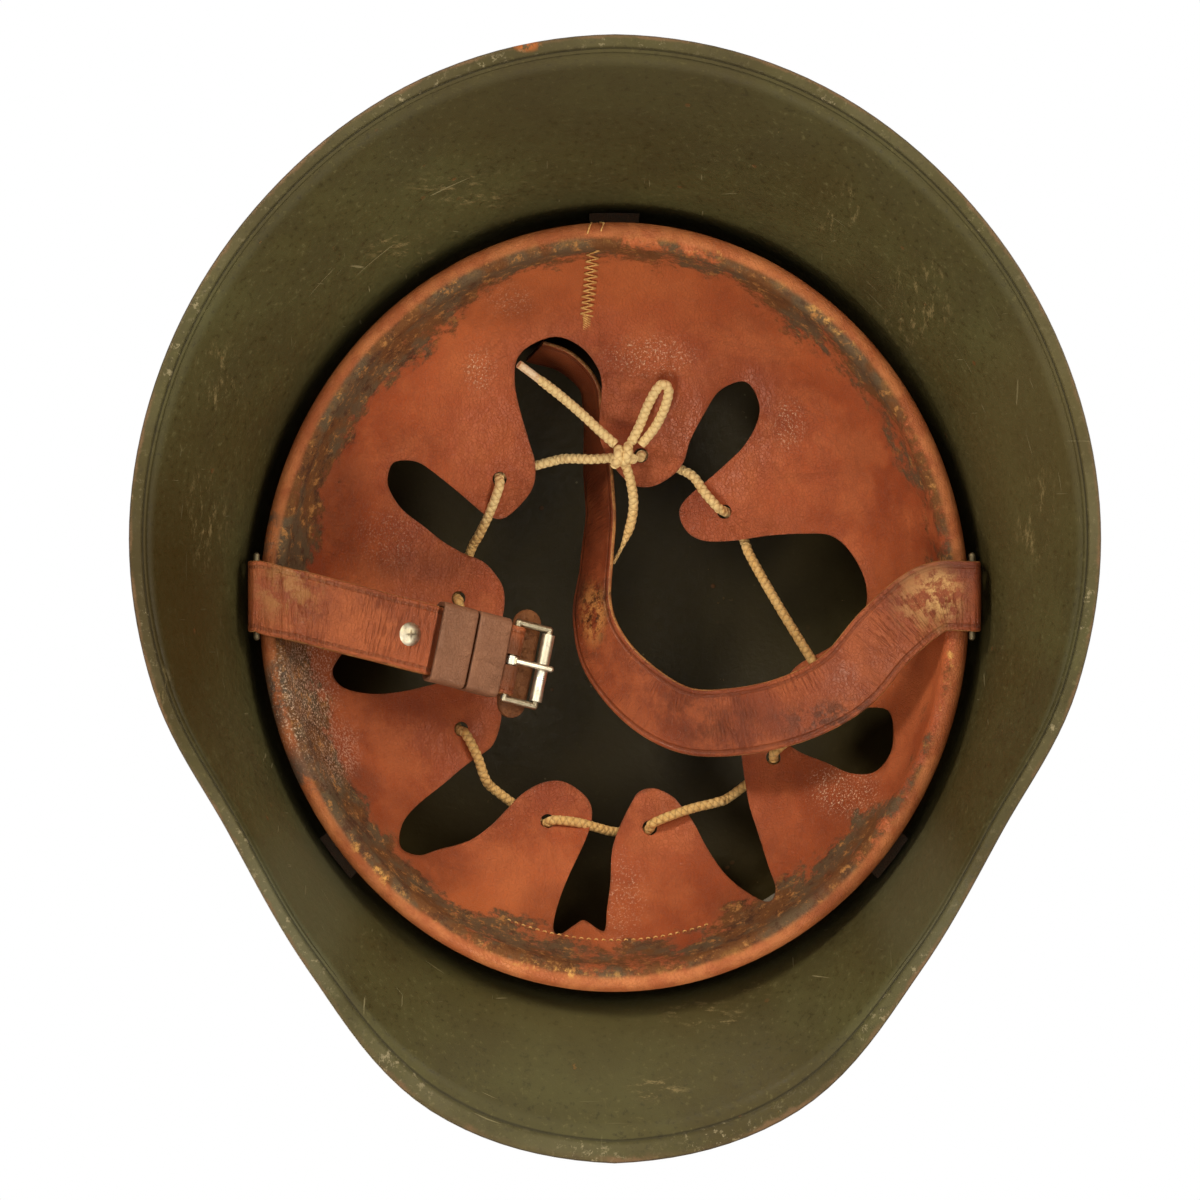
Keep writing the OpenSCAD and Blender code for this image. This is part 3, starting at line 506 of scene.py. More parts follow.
def lacing():
    """The cord's route: over a finger, down its edge, behind it and up its hole."""
    points = []
    for i, (gap, hole) in enumerate(zip(LACE_GAPS, LACE_HOLES)):
        last = LACE_START if i == 0 else LACE_HOLES[i - 1]
        over = toward(last, gap, PAST_HOLE)
        mid = 0.4 * Vector(last) + 0.6 * Vector(gap)
        in_gap, at_hole = toward(gap, hole, PAST_EDGE), toward(hole, gap, PAST_HOLE)
        points += [leather_point(over.x, over.y, FRONT), leather_point(mid.x, mid.y, FRONT + 0.2),
                   leather_point(*gap, LEATHER_T / 2), leather_point(in_gap.x, in_gap.y, BACK),
                   leather_point(at_hole.x, at_hole.y, BACK), leather_point(*hole, LEATHER_T / 2)]
    points.append(leather_point(*LACE_HOLES[-1], FRONT))
    return [p * MM for p in points]


print("the lacing goes through", len(lacing()), "chosen places")

# %% [markdown]
# The plait is in the mesh too: the section swells where two strands cross, so
# the cord's edge is bumpy against the dark behind it, which a bump map alone
# can't do.

# %% Plaited cord
SECTION_SIDES = 20


def plaited_section(u, diameter):
    """The cord's round section with the plait's own lumps, at a distance u along it."""
    ring = []
    for k in range(SECTION_SIDES):
        turn = 2 * pi * k / SECTION_SIDES
        a, b = pi * u / PLAIT + turn, pi * u / PLAIT - turn
        r = diameter / 2 * (0.9 + 0.16 * (abs(sin(a)) * abs(sin(b))) ** 0.5)
        ring.append((cos(turn) * r, sin(turn) * r))
    return ring


def cord_piece(name, points, steps, node, taper=None):
    """A plaited cord through the points. A taper is (length in metres, share of the width left)."""
    line = smooth_line(points, steps)
    full, u, sections = line_length(line), 0.0, []
    for i, p in enumerate(line):
        u += (p - line[max(0, i - 1)]).length
        width = CORD_D * MM
        if taper and u > full - taper[0]:
            width *= 1 - (1 - taper[1]) * blend01((u - full + taper[0]) / (taper[0] * 0.6))
        sections.append(plaited_section(u, width))
    up = (0, 0, 1) if abs((line[1] - line[0]).normalized().z) < 0.9 else (1, 0, 0)
    obj = piece(name, sweep(frames_along(line, up), sections), cotton, "helmet", node, sharp_deg=60)
    return obj, line


lace_line = cord_piece("lacing", lacing(), 22, ("drawcord",))[1]
print("lacing is", round(line_length(lace_line) / MM), "mm long")

# %% [markdown]
# The three free stretches, the bow's loop and the two ends, leave the knot at the rear. Each is swept as a cord, and
# its length is printed.

# %% Bow and ends
BOW = [(-5, 48, 107), (-7.5, 53, 106), (-10, 59, 103.5), (-12.5, 63.5, 101.5), (-14.5, 65, 100.8),
       (-16, 63, 101.5), (-14.8, 58, 103.5), (-12, 52.5, 106), (-8, 47.5, 107.5)]
LONG_END = [(-0.5, 47.5, 107), (4, 51.5, 107), (10, 57, 105.5), (16, 62, 102.5), (22, 66.5, 99.5),
            (27.5, 70.5, 96.5)]
SHORT_END = [(-3.3, 42.2, 107.6), (-5, 36.5, 109.3), (-5.8, 30.5, 111.3), (-5, 24.5, 113),
             (-2.8, 18.5, 114), (0.2, 12.8, 114.4)]


ends = {}
for name, route, node, far, taper in (("bow_loop", BOW, "cord_bow", "object", None),
                                      ("long_end", LONG_END, "cord_end_long", "bare", (0.0105, 0.72)),
                                      ("short_end", SHORT_END, "cord_end_short", "bare", (0.012, 0.4))):
    obj, line = cord_piece(name, [Vector(p) * MM for p in route], 12, (node,), taper)
    ends[name] = line
    print(name, "is", round(line_length(line) / MM, 1), "mm long")

# %% [markdown]
# The knot is a small barrel: the cord goes round itself twice, and its turns
# lie close, so it is one more sweep along a short tight line.

# %% Knot
KNOT_AT = Vector((-3, 44.5, 107))
KNOT_POINTS, KNOT_TURN = 15, 52
KNOT = []
for i in range(KNOT_POINTS):
    t = radians(-170 + KNOT_TURN * i)
    KNOT.append((2.9 - 0.4 * i + 0.5 * sin(t), 2.15 * cos(t) + 0.25 * (i - 7) * 0.5, 2.0 * sin(t)))
cord_piece("knot", [(KNOT_AT + Vector(p)) * MM for p in KNOT], 14, ("cord_knot",))
print("the knot turns", round(KNOT_POINTS * KNOT_TURN / 360, 1), "times")

# %% [markdown]
# The long end's last centimetre is wrapped in pale tape, which kept it stiff
# for lacing. The cord is thinner there, so the tape is a plain tube over it.

# %% Tape on the long end
TAPE_LENGTH, TAPE_D = 10.5, 2.35
tape = Finish("tape", roughness=0.55)
tape_noise = tape.fade(tape.noise(tape.place(), 300, 5, 0.7), 0.4, 0.6)
tape.set(Base_Color=tape.blend(tape_noise, srgb(236, 214, 190), srgb(214, 178, 142)))
tip = [p for p in ends["long_end"] if (p - ends["long_end"][-1]).length < TAPE_LENGTH * MM]
tip.append(tip[-1] + 0.2 * MM * (tip[-1] - tip[-2]).normalized())
tape_bm = sweep(frames_along(tip, (0, 0, 1)), [round_section(TAPE_D * MM, 20)])
piece("end_tape", tape_bm, tape, "helmet", sharp_deg=50)

# %% [markdown]
# ## The steel shell
# The real shell is one pressed sheet: a dome over the waist and a skirt that
# flares most at the visor and the neck. The skirt is different at each angle,
# so a plain spin can't make it. Here a coded profile is spun first, and then
# each vertex takes its place from the shell's own lines at its angle. The sheet
# keeps its real thickness, because its edge shows all round. The first lines
# are the oval of the waist and the rim, which reaches far out at the visor and
# the neck, is raised at the visor and ends in a turned-out lip.

# %% Waist and rim of the shell
STEEL_T, SHELL_H, WAIST_Z, LINER_GAP = 1.2, 170.0, 78.0, 3.7
CROWN_H = SHELL_H - STEEL_T - WAIST_Z
# How far the rim stands out past the dome, every 20 degrees from the visor
REACH = [42, 37.5, 22, 15.5, 22.5, 29, 33.5, 37, 40.5, 42]
VISOR_UP, LIP_TURN = 38, 15


def ellipse_r(a):
    return 1 / hypot(sin(a) / HALF_W, cos(a) / HALF_L)


def ring_r(a, d):
    return ellipse_r(a) * (1 - d / MEAN)


def folded(a):
    """The angle from the visor in degrees, the same on both sides."""
    deg = degrees(a) % 360
    return 360 - deg if deg > 180 else deg


def rim_line(a):
    """Radius of the rim, its height, the lip's width and its drop, at angle a from the visor."""
    f = folded(a)
    lip = 4 + 2.5 * (1 - blend01((f - 20) / 30))
    drop = lip * tan(radians(LIP_TURN)) * (1 - blend01((f - 20) / 40))
    r = ring_r(a, -LINER_GAP) + station(REACH, f / 20)
    return r, VISOR_UP * (1 - blend01((f - 14) / 62)), lip, drop


print("the rim reaches", round(rim_line(0)[0]), "mm at the visor and", round(rim_line(pi / 2)[0]), "mm at the side")

# %% [markdown]
# At each angle the sheet's inner face runs down a quarter of an ellipse for the
# dome, along a curve with one bend for the skirt, and across the lip, whose
# root has a pressed fold. The outer face is the same line, one thickness out.

# %% Faces of the sheet
DOME = [i / 26 * 90 for i in range(1, 27)]
SKIRT = [i / 16 for i in range(1, 17)]
# Places across the lip, each with the depth of the fold pressed in at its root
LIP_FOLD = [(0.04, 0.3), (0.09, 0.55), (0.15, 0.4), (0.22, 0.08), (0.3, 0), (0.55, 0), (0.88, 0), (1, 0)]


def inner_line(a):
    """The sheet's inner face at angle a, from the crown to the lip, as (radius, height)."""
    w = ring_r(a, -LINER_GAP)
    r, z1, lip, drop = rim_line(a)
    z2, r2 = z1 + drop, r - lip
    bend = (w + 1, z2 + 0.58 * (WAIST_Z - z2))
    line = [(w * sin(radians(t)), WAIST_Z + CROWN_H * cos(radians(t))) for t in DOME]
    line += [((1 - s) ** 2 * w + 2 * s * (1 - s) * bend[0] + s * s * r2,
              (1 - s) ** 2 * WAIST_Z + 2 * s * (1 - s) * bend[1] + s * s * z2) for s in SKIRT]
    end = (r - STEEL_T / 3, z1)
    line += [(r2 + (end[0] - r2) * f, z2 + (end[1] - z2) * f + dip) for f, dip in LIP_FOLD]
    return line


def outer_line(a):
    """The outer face: each inner place moved out by the sheet's thickness."""
    p = inner_line(a)
    out = []
    for i, (r, z) in enumerate(p):
        r0, z0 = p[i - 1] if i else (0, WAIST_Z + CROWN_H)
        r1, z1 = p[min(len(p) - 1, i + 1)]
        n = hypot(r1 - r0, z1 - z0)
        out.append((r - STEEL_T * (z1 - z0) / n, z + STEEL_T * (r1 - r0) / n))
    return out


def at(a, r, z):
    return Vector((r * sin(a), -r * cos(a), z)) * MM


ROWS = len(inner_line(0))
print("rows on each face of the sheet:", ROWS)

# %% [markdown]
# The spun profile is a flat row of vertices, and each one's radius says which
# row of the sheet it belongs to. After the spin that number and the vertex's
# angle give its real place: the inner face, the rim's edge or the outer face.

# %% Spin and shape the shell
TURNS, ROW_STEP = 180, 0.01
shell_bm = bmesh.new()
profile = [shell_bm.verts.new((0, -(1 + ROW_STEP * j), 0)) for j in range(2 * ROWS + 3)]
for one, two in zip(profile, profile[1:]):
    shell_bm.edges.new((one, two))
bmesh.ops.spin(shell_bm, geom=profile + list(shell_bm.edges), cent=(0, 0, 0), axis=(0, 0, 1), dvec=(0, 0, 0),
               angle=2 * pi, steps=TURNS, use_merge=True, use_duplicate=False)
shell_lines = {}
for v in shell_bm.verts:
    j = round((hypot(v.co.x, v.co.y) - 1) / ROW_STEP)
    a = atan2(v.co.x, -v.co.y)
    key = round(degrees(a) * 10)
    if key not in shell_lines:
        shell_lines[key] = (inner_line(a), outer_line(a), rim_line(a))
    inner, outer, rim = shell_lines[key]
    if j == 0:
        v.co = Vector((0, 0, SHELL_H - STEEL_T)) * MM
    elif j <= ROWS:
        v.co = at(a, *inner[j - 1])
    elif j == ROWS + 1:
        v.co = at(a, rim[0], rim[1] + STEEL_T / 2)
    elif j <= 2 * ROWS + 1:
        v.co = at(a, *outer[2 * ROWS + 1 - j])
    else:
        v.co = Vector((0, 0, SHELL_H)) * MM
bmesh.ops.remove_doubles(shell_bm, verts=shell_bm.verts, dist=1e-6)
bmesh.ops.recalc_face_normals(shell_bm, faces=shell_bm.faces)
print("shell faces", len(shell_bm.faces))

# %% [markdown]
# Old field paint is matt olive. Its colour drifts in clouds, and a fine grit of
# lighter and darker grains lies over it. Scratches are noise that is stretched
# so far that it turns into thin lines, in three directions.

# %% Paint colour and scratches
SCRATCH_WAYS = [((0.3, 0.2, 0.5), (26, 900, 60)), ((1.1, 0.7, 1.9), (900, 22, 60)),
                ((0.5, 1.4, 2.6), (30, 60, 1100))]


def paint_colour(f, patches, grit):
    clouds = f.noise(f.here, 9, 6, 0.62, 0.4)
    base = f.blend(f.fade(clouds, 0.3, 0.7), srgb(67, 58, 31), srgb(82, 80, 51))
    base = f.blend(f.fade(patches, 0.42, 0.62, 0.0, 0.5), base, srgb(66, 60, 38))
    base = f.blend(f.fade(grit, 0.57, 0.7, 0.0, 0.45), base, srgb(112, 106, 74))
    return f.blend(f.fade(grit, 0.45, 0.33, 0.0, 0.5), base, srgb(46, 40, 22))


def scratch_lines(f):
    scratches = 0.0
    for turn, scale in SCRATCH_WAYS:
        line = f.noise(f.place(scale=scale, turn=turn), 1.0, 2, 0.5)
        scratches = f.most(scratches, f.fade(line, 0.735, 0.76))
    return f.times(scratches, f.fade(f.noise(f.here, 14, 3, 0.5), 0.42, 0.6))


print("scratches run", len(SCRATCH_WAYS), "ways")

# %% [markdown]
# The shell's paint is also uneven from place to place. This is partly its own tone and partly painted light and shade,
# with a painted sheen on the visor. The inside of the dome is painted darkest, as painted shade, and is dusty. The
# vertices inside the dome carry a number, so that the outside stays as it is.

# %% Paint's tone, with painted light and shade
# Each row is x, y, half width, half length, amount and colour. The rows give painted shade with a browner tone on the
# +X side, painted shade at the rear, painted light on the -X side, and a painted sheen at the visor's two sides and
# front.
PAINT_TONE_AND_LIGHT = [(124, -6, 24, 56, 0.75, (54, 42, 12)), (88, -84, 22, 34, 0.65, (94, 94, 72)),
               (-84, -80, 18, 30, 0.55, (94, 92, 70)), (-114, 46, 22, 50, 0.5, (86, 76, 48)),
               (6, 138, 70, 24, 0.5, (60, 50, 26)), (0, -122, 60, 26, 0.35, (88, 84, 58))]


def paint_tone_and_light(f, base, inside):
    base = f.tinted(base, PAINT_TONE_AND_LIGHT)
    dust = f.times(f.fade(f.cells(f.here, 110), 0.05, 0.03), f.fade(f.noise(f.here, 30, 3, 0.5), 0.5, 0.6))
    # The inside of the dome is painted dark as painted shade, with light dust over it.
    dome_shade_and_dust = f.blend(f.times(dust, 0.5), srgb(42, 33, 11), srgb(140, 130, 100))
    return f.blend(f.times(inside, 0.8), base, dome_shade_and_dust)


print("places with a tone of their own:", len(PAINT_TONE_AND_LIGHT))

# %% [markdown]
# The lip is paler, partly from rubbing and partly as a painted highlight. It has brown steel at its edge and painted
# shade in its fold. So each vertex near the edge carries its place across the lip, 0 at the edge and 1 at the fold.

# %% Wear, painted highlight and painted shade of the lip
def lip_wear_and_painted_light(f, base):
    across = f.attribute("lip_share")
    uneven = f.times(f.minus(f.noise(f.here, 150, 6, 0.72), 0.5), 0.7)
    broad = f.noise(f.here, 16, 4, 0.6)
    # A pale band across the lip: partly rubbed paint, partly a painted highlight.
    pale_end = f.fade(f.plus(across, f.times(uneven, 0.3)), 0.92, 0.7)
    pale = f.times(f.fade(across, 0.05, 0.3), pale_end)
    base = f.blend(f.times(pale, f.fade(broad, 0.42, 0.66, 0.0, 0.38)), base, srgb(108, 102, 80))
    on_lip = f.times(f.fade(across, 1.0, 0.85), f.fade(f.noise(f.here, 420, 5, 0.8), 0.55, 0.62))
    on_lip = f.times(on_lip, f.fade(f.noise(f.here, 30, 4, 0.6), 0.48, 0.6, 0.1, 0.75))
    base = f.blend(on_lip, base, srgb(156, 146, 122))
    rubbed = f.fade(f.plus(across, uneven), 0.34, 0.1)
    rubbed = f.times(rubbed, f.fade(f.noise(f.here, 45, 5, 0.7), 0.42, 0.58, 0.15, 0.8))
    base = f.blend(rubbed, base, srgb(118, 92, 70))
    base = f.blend(f.fade(across, 0.1, 0.02, 0.0, 0.7), base, srgb(58, 44, 30))
    # Painted shade in the fold at the lip's root.
    fold_shade = f.times(f.fade(across, 0.84, 0.92), f.fade(across, 1.04, 0.97))
    return f.blend(f.times(fold_shade, 0.6), base, srgb(34, 30, 18))


print("the lip carries its wear in lip_share")

# %% [markdown]
# A few scuffs lie where the photograph shows them. A scuff is a smear of broken
# strokes: noise stretched one way, and seen only inside some ovals.

# %% Scuffs
SCUFFS_ALONG = [(113, 24, 7, 20), (122, -26, 4, 14), (-84, 84, 12, 16), (108, 62, 8, 14), (-62, 110, 8, 9),
                (-116, 24, 6, 18)]
SCUFFS_ACROSS = [(42, 116, 18, 6), (-12, -135, 11, 4.5), (-26, -116, 16, 5), (-40, -108, 7, 3), (60, 100, 12, 7)]
BARE_CHIP = (24, 152, 5, 2.6)


def scuffs(f, base):
    smears = []
    for scale, turn, places in (((520, 110, 160), 0.25, SCUFFS_ALONG), ((150, 620, 160), -0.2, SCUFFS_ACROSS)):
        strokes = f.fade(f.noise(f.place(scale=scale, turn=(0, 0, turn)), 1.0, 8, 0.8), 0.52, 0.64)
        smears.append(f.times(strokes, f.spots(places)))
    base = f.blend(f.times(f.most(*smears), 0.6), base, srgb(154, 138, 102))
    chip = f.times(f.spot(*BARE_CHIP), f.fade(f.noise(f.here, 300, 4, 0.7), 0.4, 0.5))
    return f.blend(chip, base, srgb(168, 96, 48))


print("scuffs:", len(SCUFFS_ALONG) + len(SCUFFS_ACROSS))

# %% [markdown]
# The last layers are small chips down to a lighter brown primer, and rust where the chips went through. The rivets and
# the vents' bushes have the same paint, without the shell's own wear and painted light.

# %% Whole paint finish
def paint_finish(name, shell_wear_and_light=True):
    f = Finish(name, specular=0.2)
    f.here = f.place()
    patches, grit = f.noise(f.here, 38, 6, 0.68), f.noise(f.here, 520, 4, 0.7)
    scratches = scratch_lines(f)
    if shell_wear_and_light:
        inside = f.attribute("inside_dome")
        scratches = f.times(scratches, f.minus(1.0, inside))
    base = f.blend(f.times(scratches, 0.65), paint_colour(f, patches, grit), srgb(156, 148, 118))
    if shell_wear_and_light:
        # Only the shell gets its painted light and shade, its lip's wear, painted highlight and shade, and its scuffs.
        base = scuffs(f, lip_wear_and_painted_light(f, paint_tone_and_light(f, base, inside)))
    chips = f.fade(f.noise(f.here, 160, 6, 0.72), 0.69, 0.715)
    rust = f.times(f.fade(f.cells(f.here, 95), 0.09, 0.05), f.fade(f.noise(f.here, 30, 3, 0.6), 0.47, 0.6))
    base = f.blend(f.times(chips, 0.75), base, srgb(118, 92, 56))
    base = f.blend(f.times(rust, 0.6), base, srgb(112, 72, 42))
    height = f.minus(f.times(grit, 0.5), f.times(f.plus(f.most(chips, rust), scratches), 0.6))
    f.set(Base_Color=base, Roughness=f.fade(grit, 0.3, 0.7, 0.42, 0.6),
          Normal=f.bump(height, 0.00022, 0.8, f.bump(patches, 0.0012, 0.35)))
    return f


shell_paint = paint_finish("shell_paint")
fitting_paint = paint_finish("fitting_paint", shell_wear_and_light=False)
print("paints:", shell_paint.material.name, fitting_paint.material.name)

# %% [markdown]
# The shell is put in the scene, and its vertices get the two numbers that the
# paint reads. A vertex is inside the dome if its normal points to the middle.

# %% Shell piece and its wear numbers
PAST_LIP = 3
LIP_Z, DOME_FROM_Z, DOME_FADE = 14, 74, 22


def carry(obj, name, values):
    """Gives each vertex of the piece a number that a finish can read."""
    obj.data.attributes.new(name, "FLOAT", "POINT").data.foreach_set("value", values)


def lip_share(co):
    r, z1, lip, _ = rim_line(atan2(co.x, -co.y))
    return min(PAST_LIP, (r - hypot(co.x, co.y) / MM) / lip) if co.z / MM < z1 + LIP_Z else PAST_LIP


def dome_share(co, normal):
    inward = normal.x * co.x + normal.y * co.y + normal.z * max(0, co.z - 60 * MM) < 0
    return blend01((co.z / MM - DOME_FROM_Z) / DOME_FADE) if inward else 0


shell = piece("steel_shell", shell_bm, shell_paint, "helmet", ("shell",))
lip_shares = [lip_share(v.co) for v in shell.data.vertices]
dome_shares = [dome_share(v.co, v.normal) for v in shell.data.vertices]
carry(shell, "lip_share", lip_shares)
carry(shell, "inside_dome", dome_shares)
print("vertices inside the dome", sum(v > 0.5 for v in dome_shares), "and on the lip", sum(v < 1 for v in lip_shares))

# %% [markdown]
# ## Leather
# The liner and the straps are vegetable-tanned hide. Its colour drifts slowly,
# its grain is a net of tiny cells, and long use has left creases, dark grease
# and a dull gloss. One helper makes the hide, and each piece adds its own wear.

# %% Leather helper
def thin_lines(f, pattern, width):
    """0 on the thin lines where a noise crosses its middle, and 1 elsewhere."""
    return f.fade(f.calc("ABSOLUTE", f.minus(pattern, 0.5)), 0.0, width)


def hide_finish(name, light, mid, dark, roughness=0.42, crease=1.0):
    """A leather finish that carries its colour, roughness and relief so far, for more wear."""
    f = Finish(name, specular=0.3)
    f.here = f.place()
    patch = f.noise(f.here, 60, 6, 0.7)
    colour = f.blend(f.fade(f.noise(f.here, 16, 5, 0.6, 0.3), 0.3, 0.62), dark, mid)
    colour = f.blend(f.fade(patch, 0.42, 0.66, 0.0, 0.6), colour, light)
    pores = f.fade(f.cells(f.here, 950, "DISTANCE_TO_EDGE"), 0.0, 0.09)
    folds = f.noise(f.place(scale=(1, 2.4, 1.5), turn=(0.2, 0.4, 0.7)), 42, 7, 0.66, 0.9)
    few = f.fade(f.noise(f.here, 28, 3, 0.5), 0.5, 0.62)
    lines = f.most(thin_lines(f, folds, 0.02), f.minus(1.0, few))
    fine = f.noise(f.place(scale=(2.2, 1, 1), turn=(0.5, 0.1, 1.3)), 150, 6, 0.7, 0.6)
    fine_lines = thin_lines(f, fine, 0.03)
    for pattern, amount, tone in ((lines, 0.45 * crease, (84, 42, 26)), (fine_lines, 0.16 * crease, (104, 54, 32)),
                                  (pores, 0.16, (96, 50, 30))):
        colour = f.blend(f.times(f.minus(1.0, pattern), amount), colour, srgb(*tone))
    creases = f.plus(f.times(lines, 0.55 * crease), f.times(fine_lines, 0.35 * crease))
    f.rough = f.fade(patch, 0.3, 0.7, roughness - 0.08, roughness + 0.14)
    f.height, f.colour = f.plus(f.times(pores, 0.25), creases), colour
    return f


def finish_hide(f, depth=0.00035, strength=0.8):
    """Links what the leather carries to its shader."""
    f.set(Base_Color=f.colour, Roughness=f.rough, Normal=f.bump(f.height, depth, strength))
    return f


print("leather helper ready")

# %% [markdown]
# The keepers are dull and dark with handling, darkest at their rounded edges. V goes once round a keeper's section, so
# the edges are narrow bands of V. The spacers between liner and shell are rough offcuts, coloured nearly black as
# painted shade so that they sink into the shadow of the gap behind the bead.

# %% Leather of the keepers and spacers
EDGE_V = 14.5 / 30
keeper_hide = hide_finish("keeper_hide", srgb(162, 118, 96), srgb(140, 98, 78), srgb(104, 70, 54),
                          roughness=0.45, crease=0.4)
around = keeper_hide.split(keeper_hide.place(source="UV"))[1]
far_rim = keeper_hide.fade(keeper_hide.calc("ABSOLUTE", keeper_hide.minus(around, EDGE_V)), 0.09, 0.045)
near_rim = keeper_hide.most(keeper_hide.fade(around, 0.06, 0.02), keeper_hide.fade(around, 0.89, 0.93))
rims = keeper_hide.times(keeper_hide.most(far_rim, near_rim), 0.55)
keeper_hide.colour = keeper_hide.blend(rims, keeper_hide.colour, srgb(72, 46, 36))
finish_hide(keeper_hide)
# The spacers' near-black colour is painted shade, so that they sink into the shadow behind the bead.
pad_hide = finish_hide(hide_finish("pad_hide", srgb(46, 35, 27), srgb(38, 29, 22), srgb(30, 23, 18),
                                   roughness=0.85, crease=0.4))
print("leathers:", keeper_hide.material.name, pad_hide.material.name)

# %% [markdown]
# ## The liner leather
# On the real helmet one long piece of leather is rolled over the metal band,
# which makes the bead, and its other edge is cut into fingers that a cord draws
# together. The rolled section is spun and made oval. A cutter with the fingers'
# outline then takes out the middle, and each finger gets its own slight curl.

# %% Section of the leather
# From the bead's edge (1) in to the part that the cutter takes away
SHARES = [1 - 0.73 * (i / 30) ** 1.5 for i in range(31)]
FLAP_UP = 7


def leather_line(t):
    """The dome's line from bead to middle, t millimetres behind its front face."""
    line = []
    for p in SHARES:
        a, b = min(1, p + 0.002), p - 0.002
        run = Vector((LEATHER_R * (b - a), dome_z(b) - dome_z(a))).normalized()
        line.append((MEAN - LEATHER_R * p - t * run.y, dome_z(p) - t * run.x))
    return line


def leather_section():
    """The closed section, as depth in from the bead's outer face and height."""
    inside, outside = leather_line(0), leather_line(LEATHER_T)
    turns = [i * 15 for i in range(13)]
    line = [(BEAD_R * (1 - cos(radians(t))), BEAD_MID - BEAD_R * sin(radians(t))) for t in turns]
    line += inside[1:] + list(reversed(outside[1:]))
    inner_r = BEAD_R - LEATHER_T
    line += [(BEAD_R + inner_r * cos(radians(t)), BEAD_MID - inner_r * sin(radians(t))) for t in turns]
    return line + [(LEATHER_T, BEAD_MID + FLAP_UP), (0, BEAD_MID + FLAP_UP)]


def spun(section, steps):
    """A ring with this section, (depth, height), made oval as the liner is."""
    bm = bmesh.new()
    ring = [bm.verts.new((0, -(MEAN - d) * MM, z * MM)) for d, z in section]
    for i in range(len(ring)):
        bm.edges.new((ring[i], ring[(i + 1) % len(ring)]))
    bmesh.ops.spin(bm, geom=ring + list(bm.edges), cent=(0, 0, 0), axis=(0, 0, 1), dvec=(0, 0, 0),
                   angle=2 * pi, steps=steps, use_merge=True, use_duplicate=False)
    bmesh.ops.scale(bm, vec=(HALF_W / MEAN, HALF_L / MEAN, 1), verts=bm.verts)
    bmesh.ops.remove_doubles(bm, verts=bm.verts, dist=1e-7)
    bmesh.ops.recalc_face_normals(bm, faces=bm.faces)
    return bm


print("points in the leather's section:", len(leather_section()))

# %% [markdown]
# The nine slots and the space in the middle are one closed outline, taken as points from the photograph. The same
# smooth line as before rounds it.

# %% Outline of the fingers
FINGERS = [(32, 26.5), (24.5, 34), (23, 41.5), (25, 49), (27.5, 57.5), (29, 65), (28.5, 72), (24.5, 76.5),
           (17, 79), (10, 76.5), (5.5, 71.5), (3.5, 65), (4, 49), (-3.5, 37.5), (-10.5, 35.5), (-17, 38.5),
           (-20.5, 42.5), (-22.5, 49), (-27, 57.5), (-31, 63.5), (-37, 66.5), (-40.5, 65), (-43, 59), (-42, 53.5),
           (-38.5, 47.5), (-34, 43), (-29, 38.5), (-21, 31.5), (-19.5, 27), (-22, 22), (-27, 19.5), (-35.5, 19.5),
           (-46, 21), (-56, 21.5), (-63.5, 21), (-69, 16.5), (-73, 9.5), (-74, 2), (-72, -4), (-68, -8.5),
           (-62, -12.5), (-54, -17), (-51, -22), (-54, -27.5), (-65, -31.5), (-72, -29.5), (-79.5, -30),
           (-80.5, -37.5), (-79, -43.5), (-75, -48), (-69, -48.5), (-62, -45.5), (-54.5, -42.5), (-50, -39.5),
           (-46, -37.5), (-41.5, -37), (-38.5, -38.5), (-37.5, -42), (-39.5, -56.5), (-42, -65.5), (-45, -75.5),
           (-46.5, -80.5), (-45.5, -84), (-42.5, -84.5), (-37, -81.5), (-31.5, -76.5), (-27, -70), (-23, -62.5),
           (-19.5, -58), (-17, -55.5), (-12, -53.5), (-7.5, -54.5), (-5, -58), (-2, -64), (0.5, -71.5), (1, -80),
           (2, -87), (2.5, -92.5), (4, -93), (8.5, -90.5), (11, -91.5), (15.5, -94), (17.5, -92.5), (16.5, -87),
           (14, -80.5), (10.5, -73.5), (8, -68), (6.5, -62.5), (7, -58), (10, -54.5), (15.5, -51.5), (21.5, -52),
           (27, -55), (32, -60), (36, -64), (42, -68), (50.5, -70), (56, -71.5), (60.5, -70), (62, -67), (61, -62),
           (56.5, -57), (49.5, -51.5), (43.5, -46.5), (39, -43.5), (35.5, -40.5), (33.5, -34.5), (33.5, -29),
           (36, -24.5), (42, -22), (51, -22.5), (62.5, -25), (71, -25.5), (78, -23.5), (81, -19.5), (80, -15.5),
           (76.5, -12), (66, -12), (54, -13.5), (42, -12.5), (35, -8), (32.5, -1.5), (32.5, 5), (35, 9.5),
           (39, 13.5), (45, 16), (51, 19.5), (56.5, 24), (62, 28.5), (65.5, 34), (66, 38), (64.5, 42), (60.5, 43),
           (56.5, 42), (50.5, 37.5), (45, 33), (41, 29.5), (37.5, 27)]
closed = [Vector((x, y, 0)) for x, y in FINGERS]
OUTLINE_STEPS = 4
outline = []
for i in range(len(closed)):
    a, b, c, d = (closed[(i + k) % len(closed)] for k in (-1, 0, 1, 2))
    outline += [cubic(a, b, c, d, s / OUTLINE_STEPS) for s in range(OUTLINE_STEPS)]
print("points round the fingers:", len(outline))

# %% [markdown]
# The outline is extruded to a tall prism, and a boolean takes its space out of
# the spun leather. The cord's holes are cut in the same way. The boolean needs
# objects, so two short-lived ones carry the meshes and are removed after it.

# %% Cut the fingers and the cord's holes
CUT_LOW, CUT_HIGH, HOLE_R, HOLE_SIDES = 0.0615, 0.14, 2.1, 24


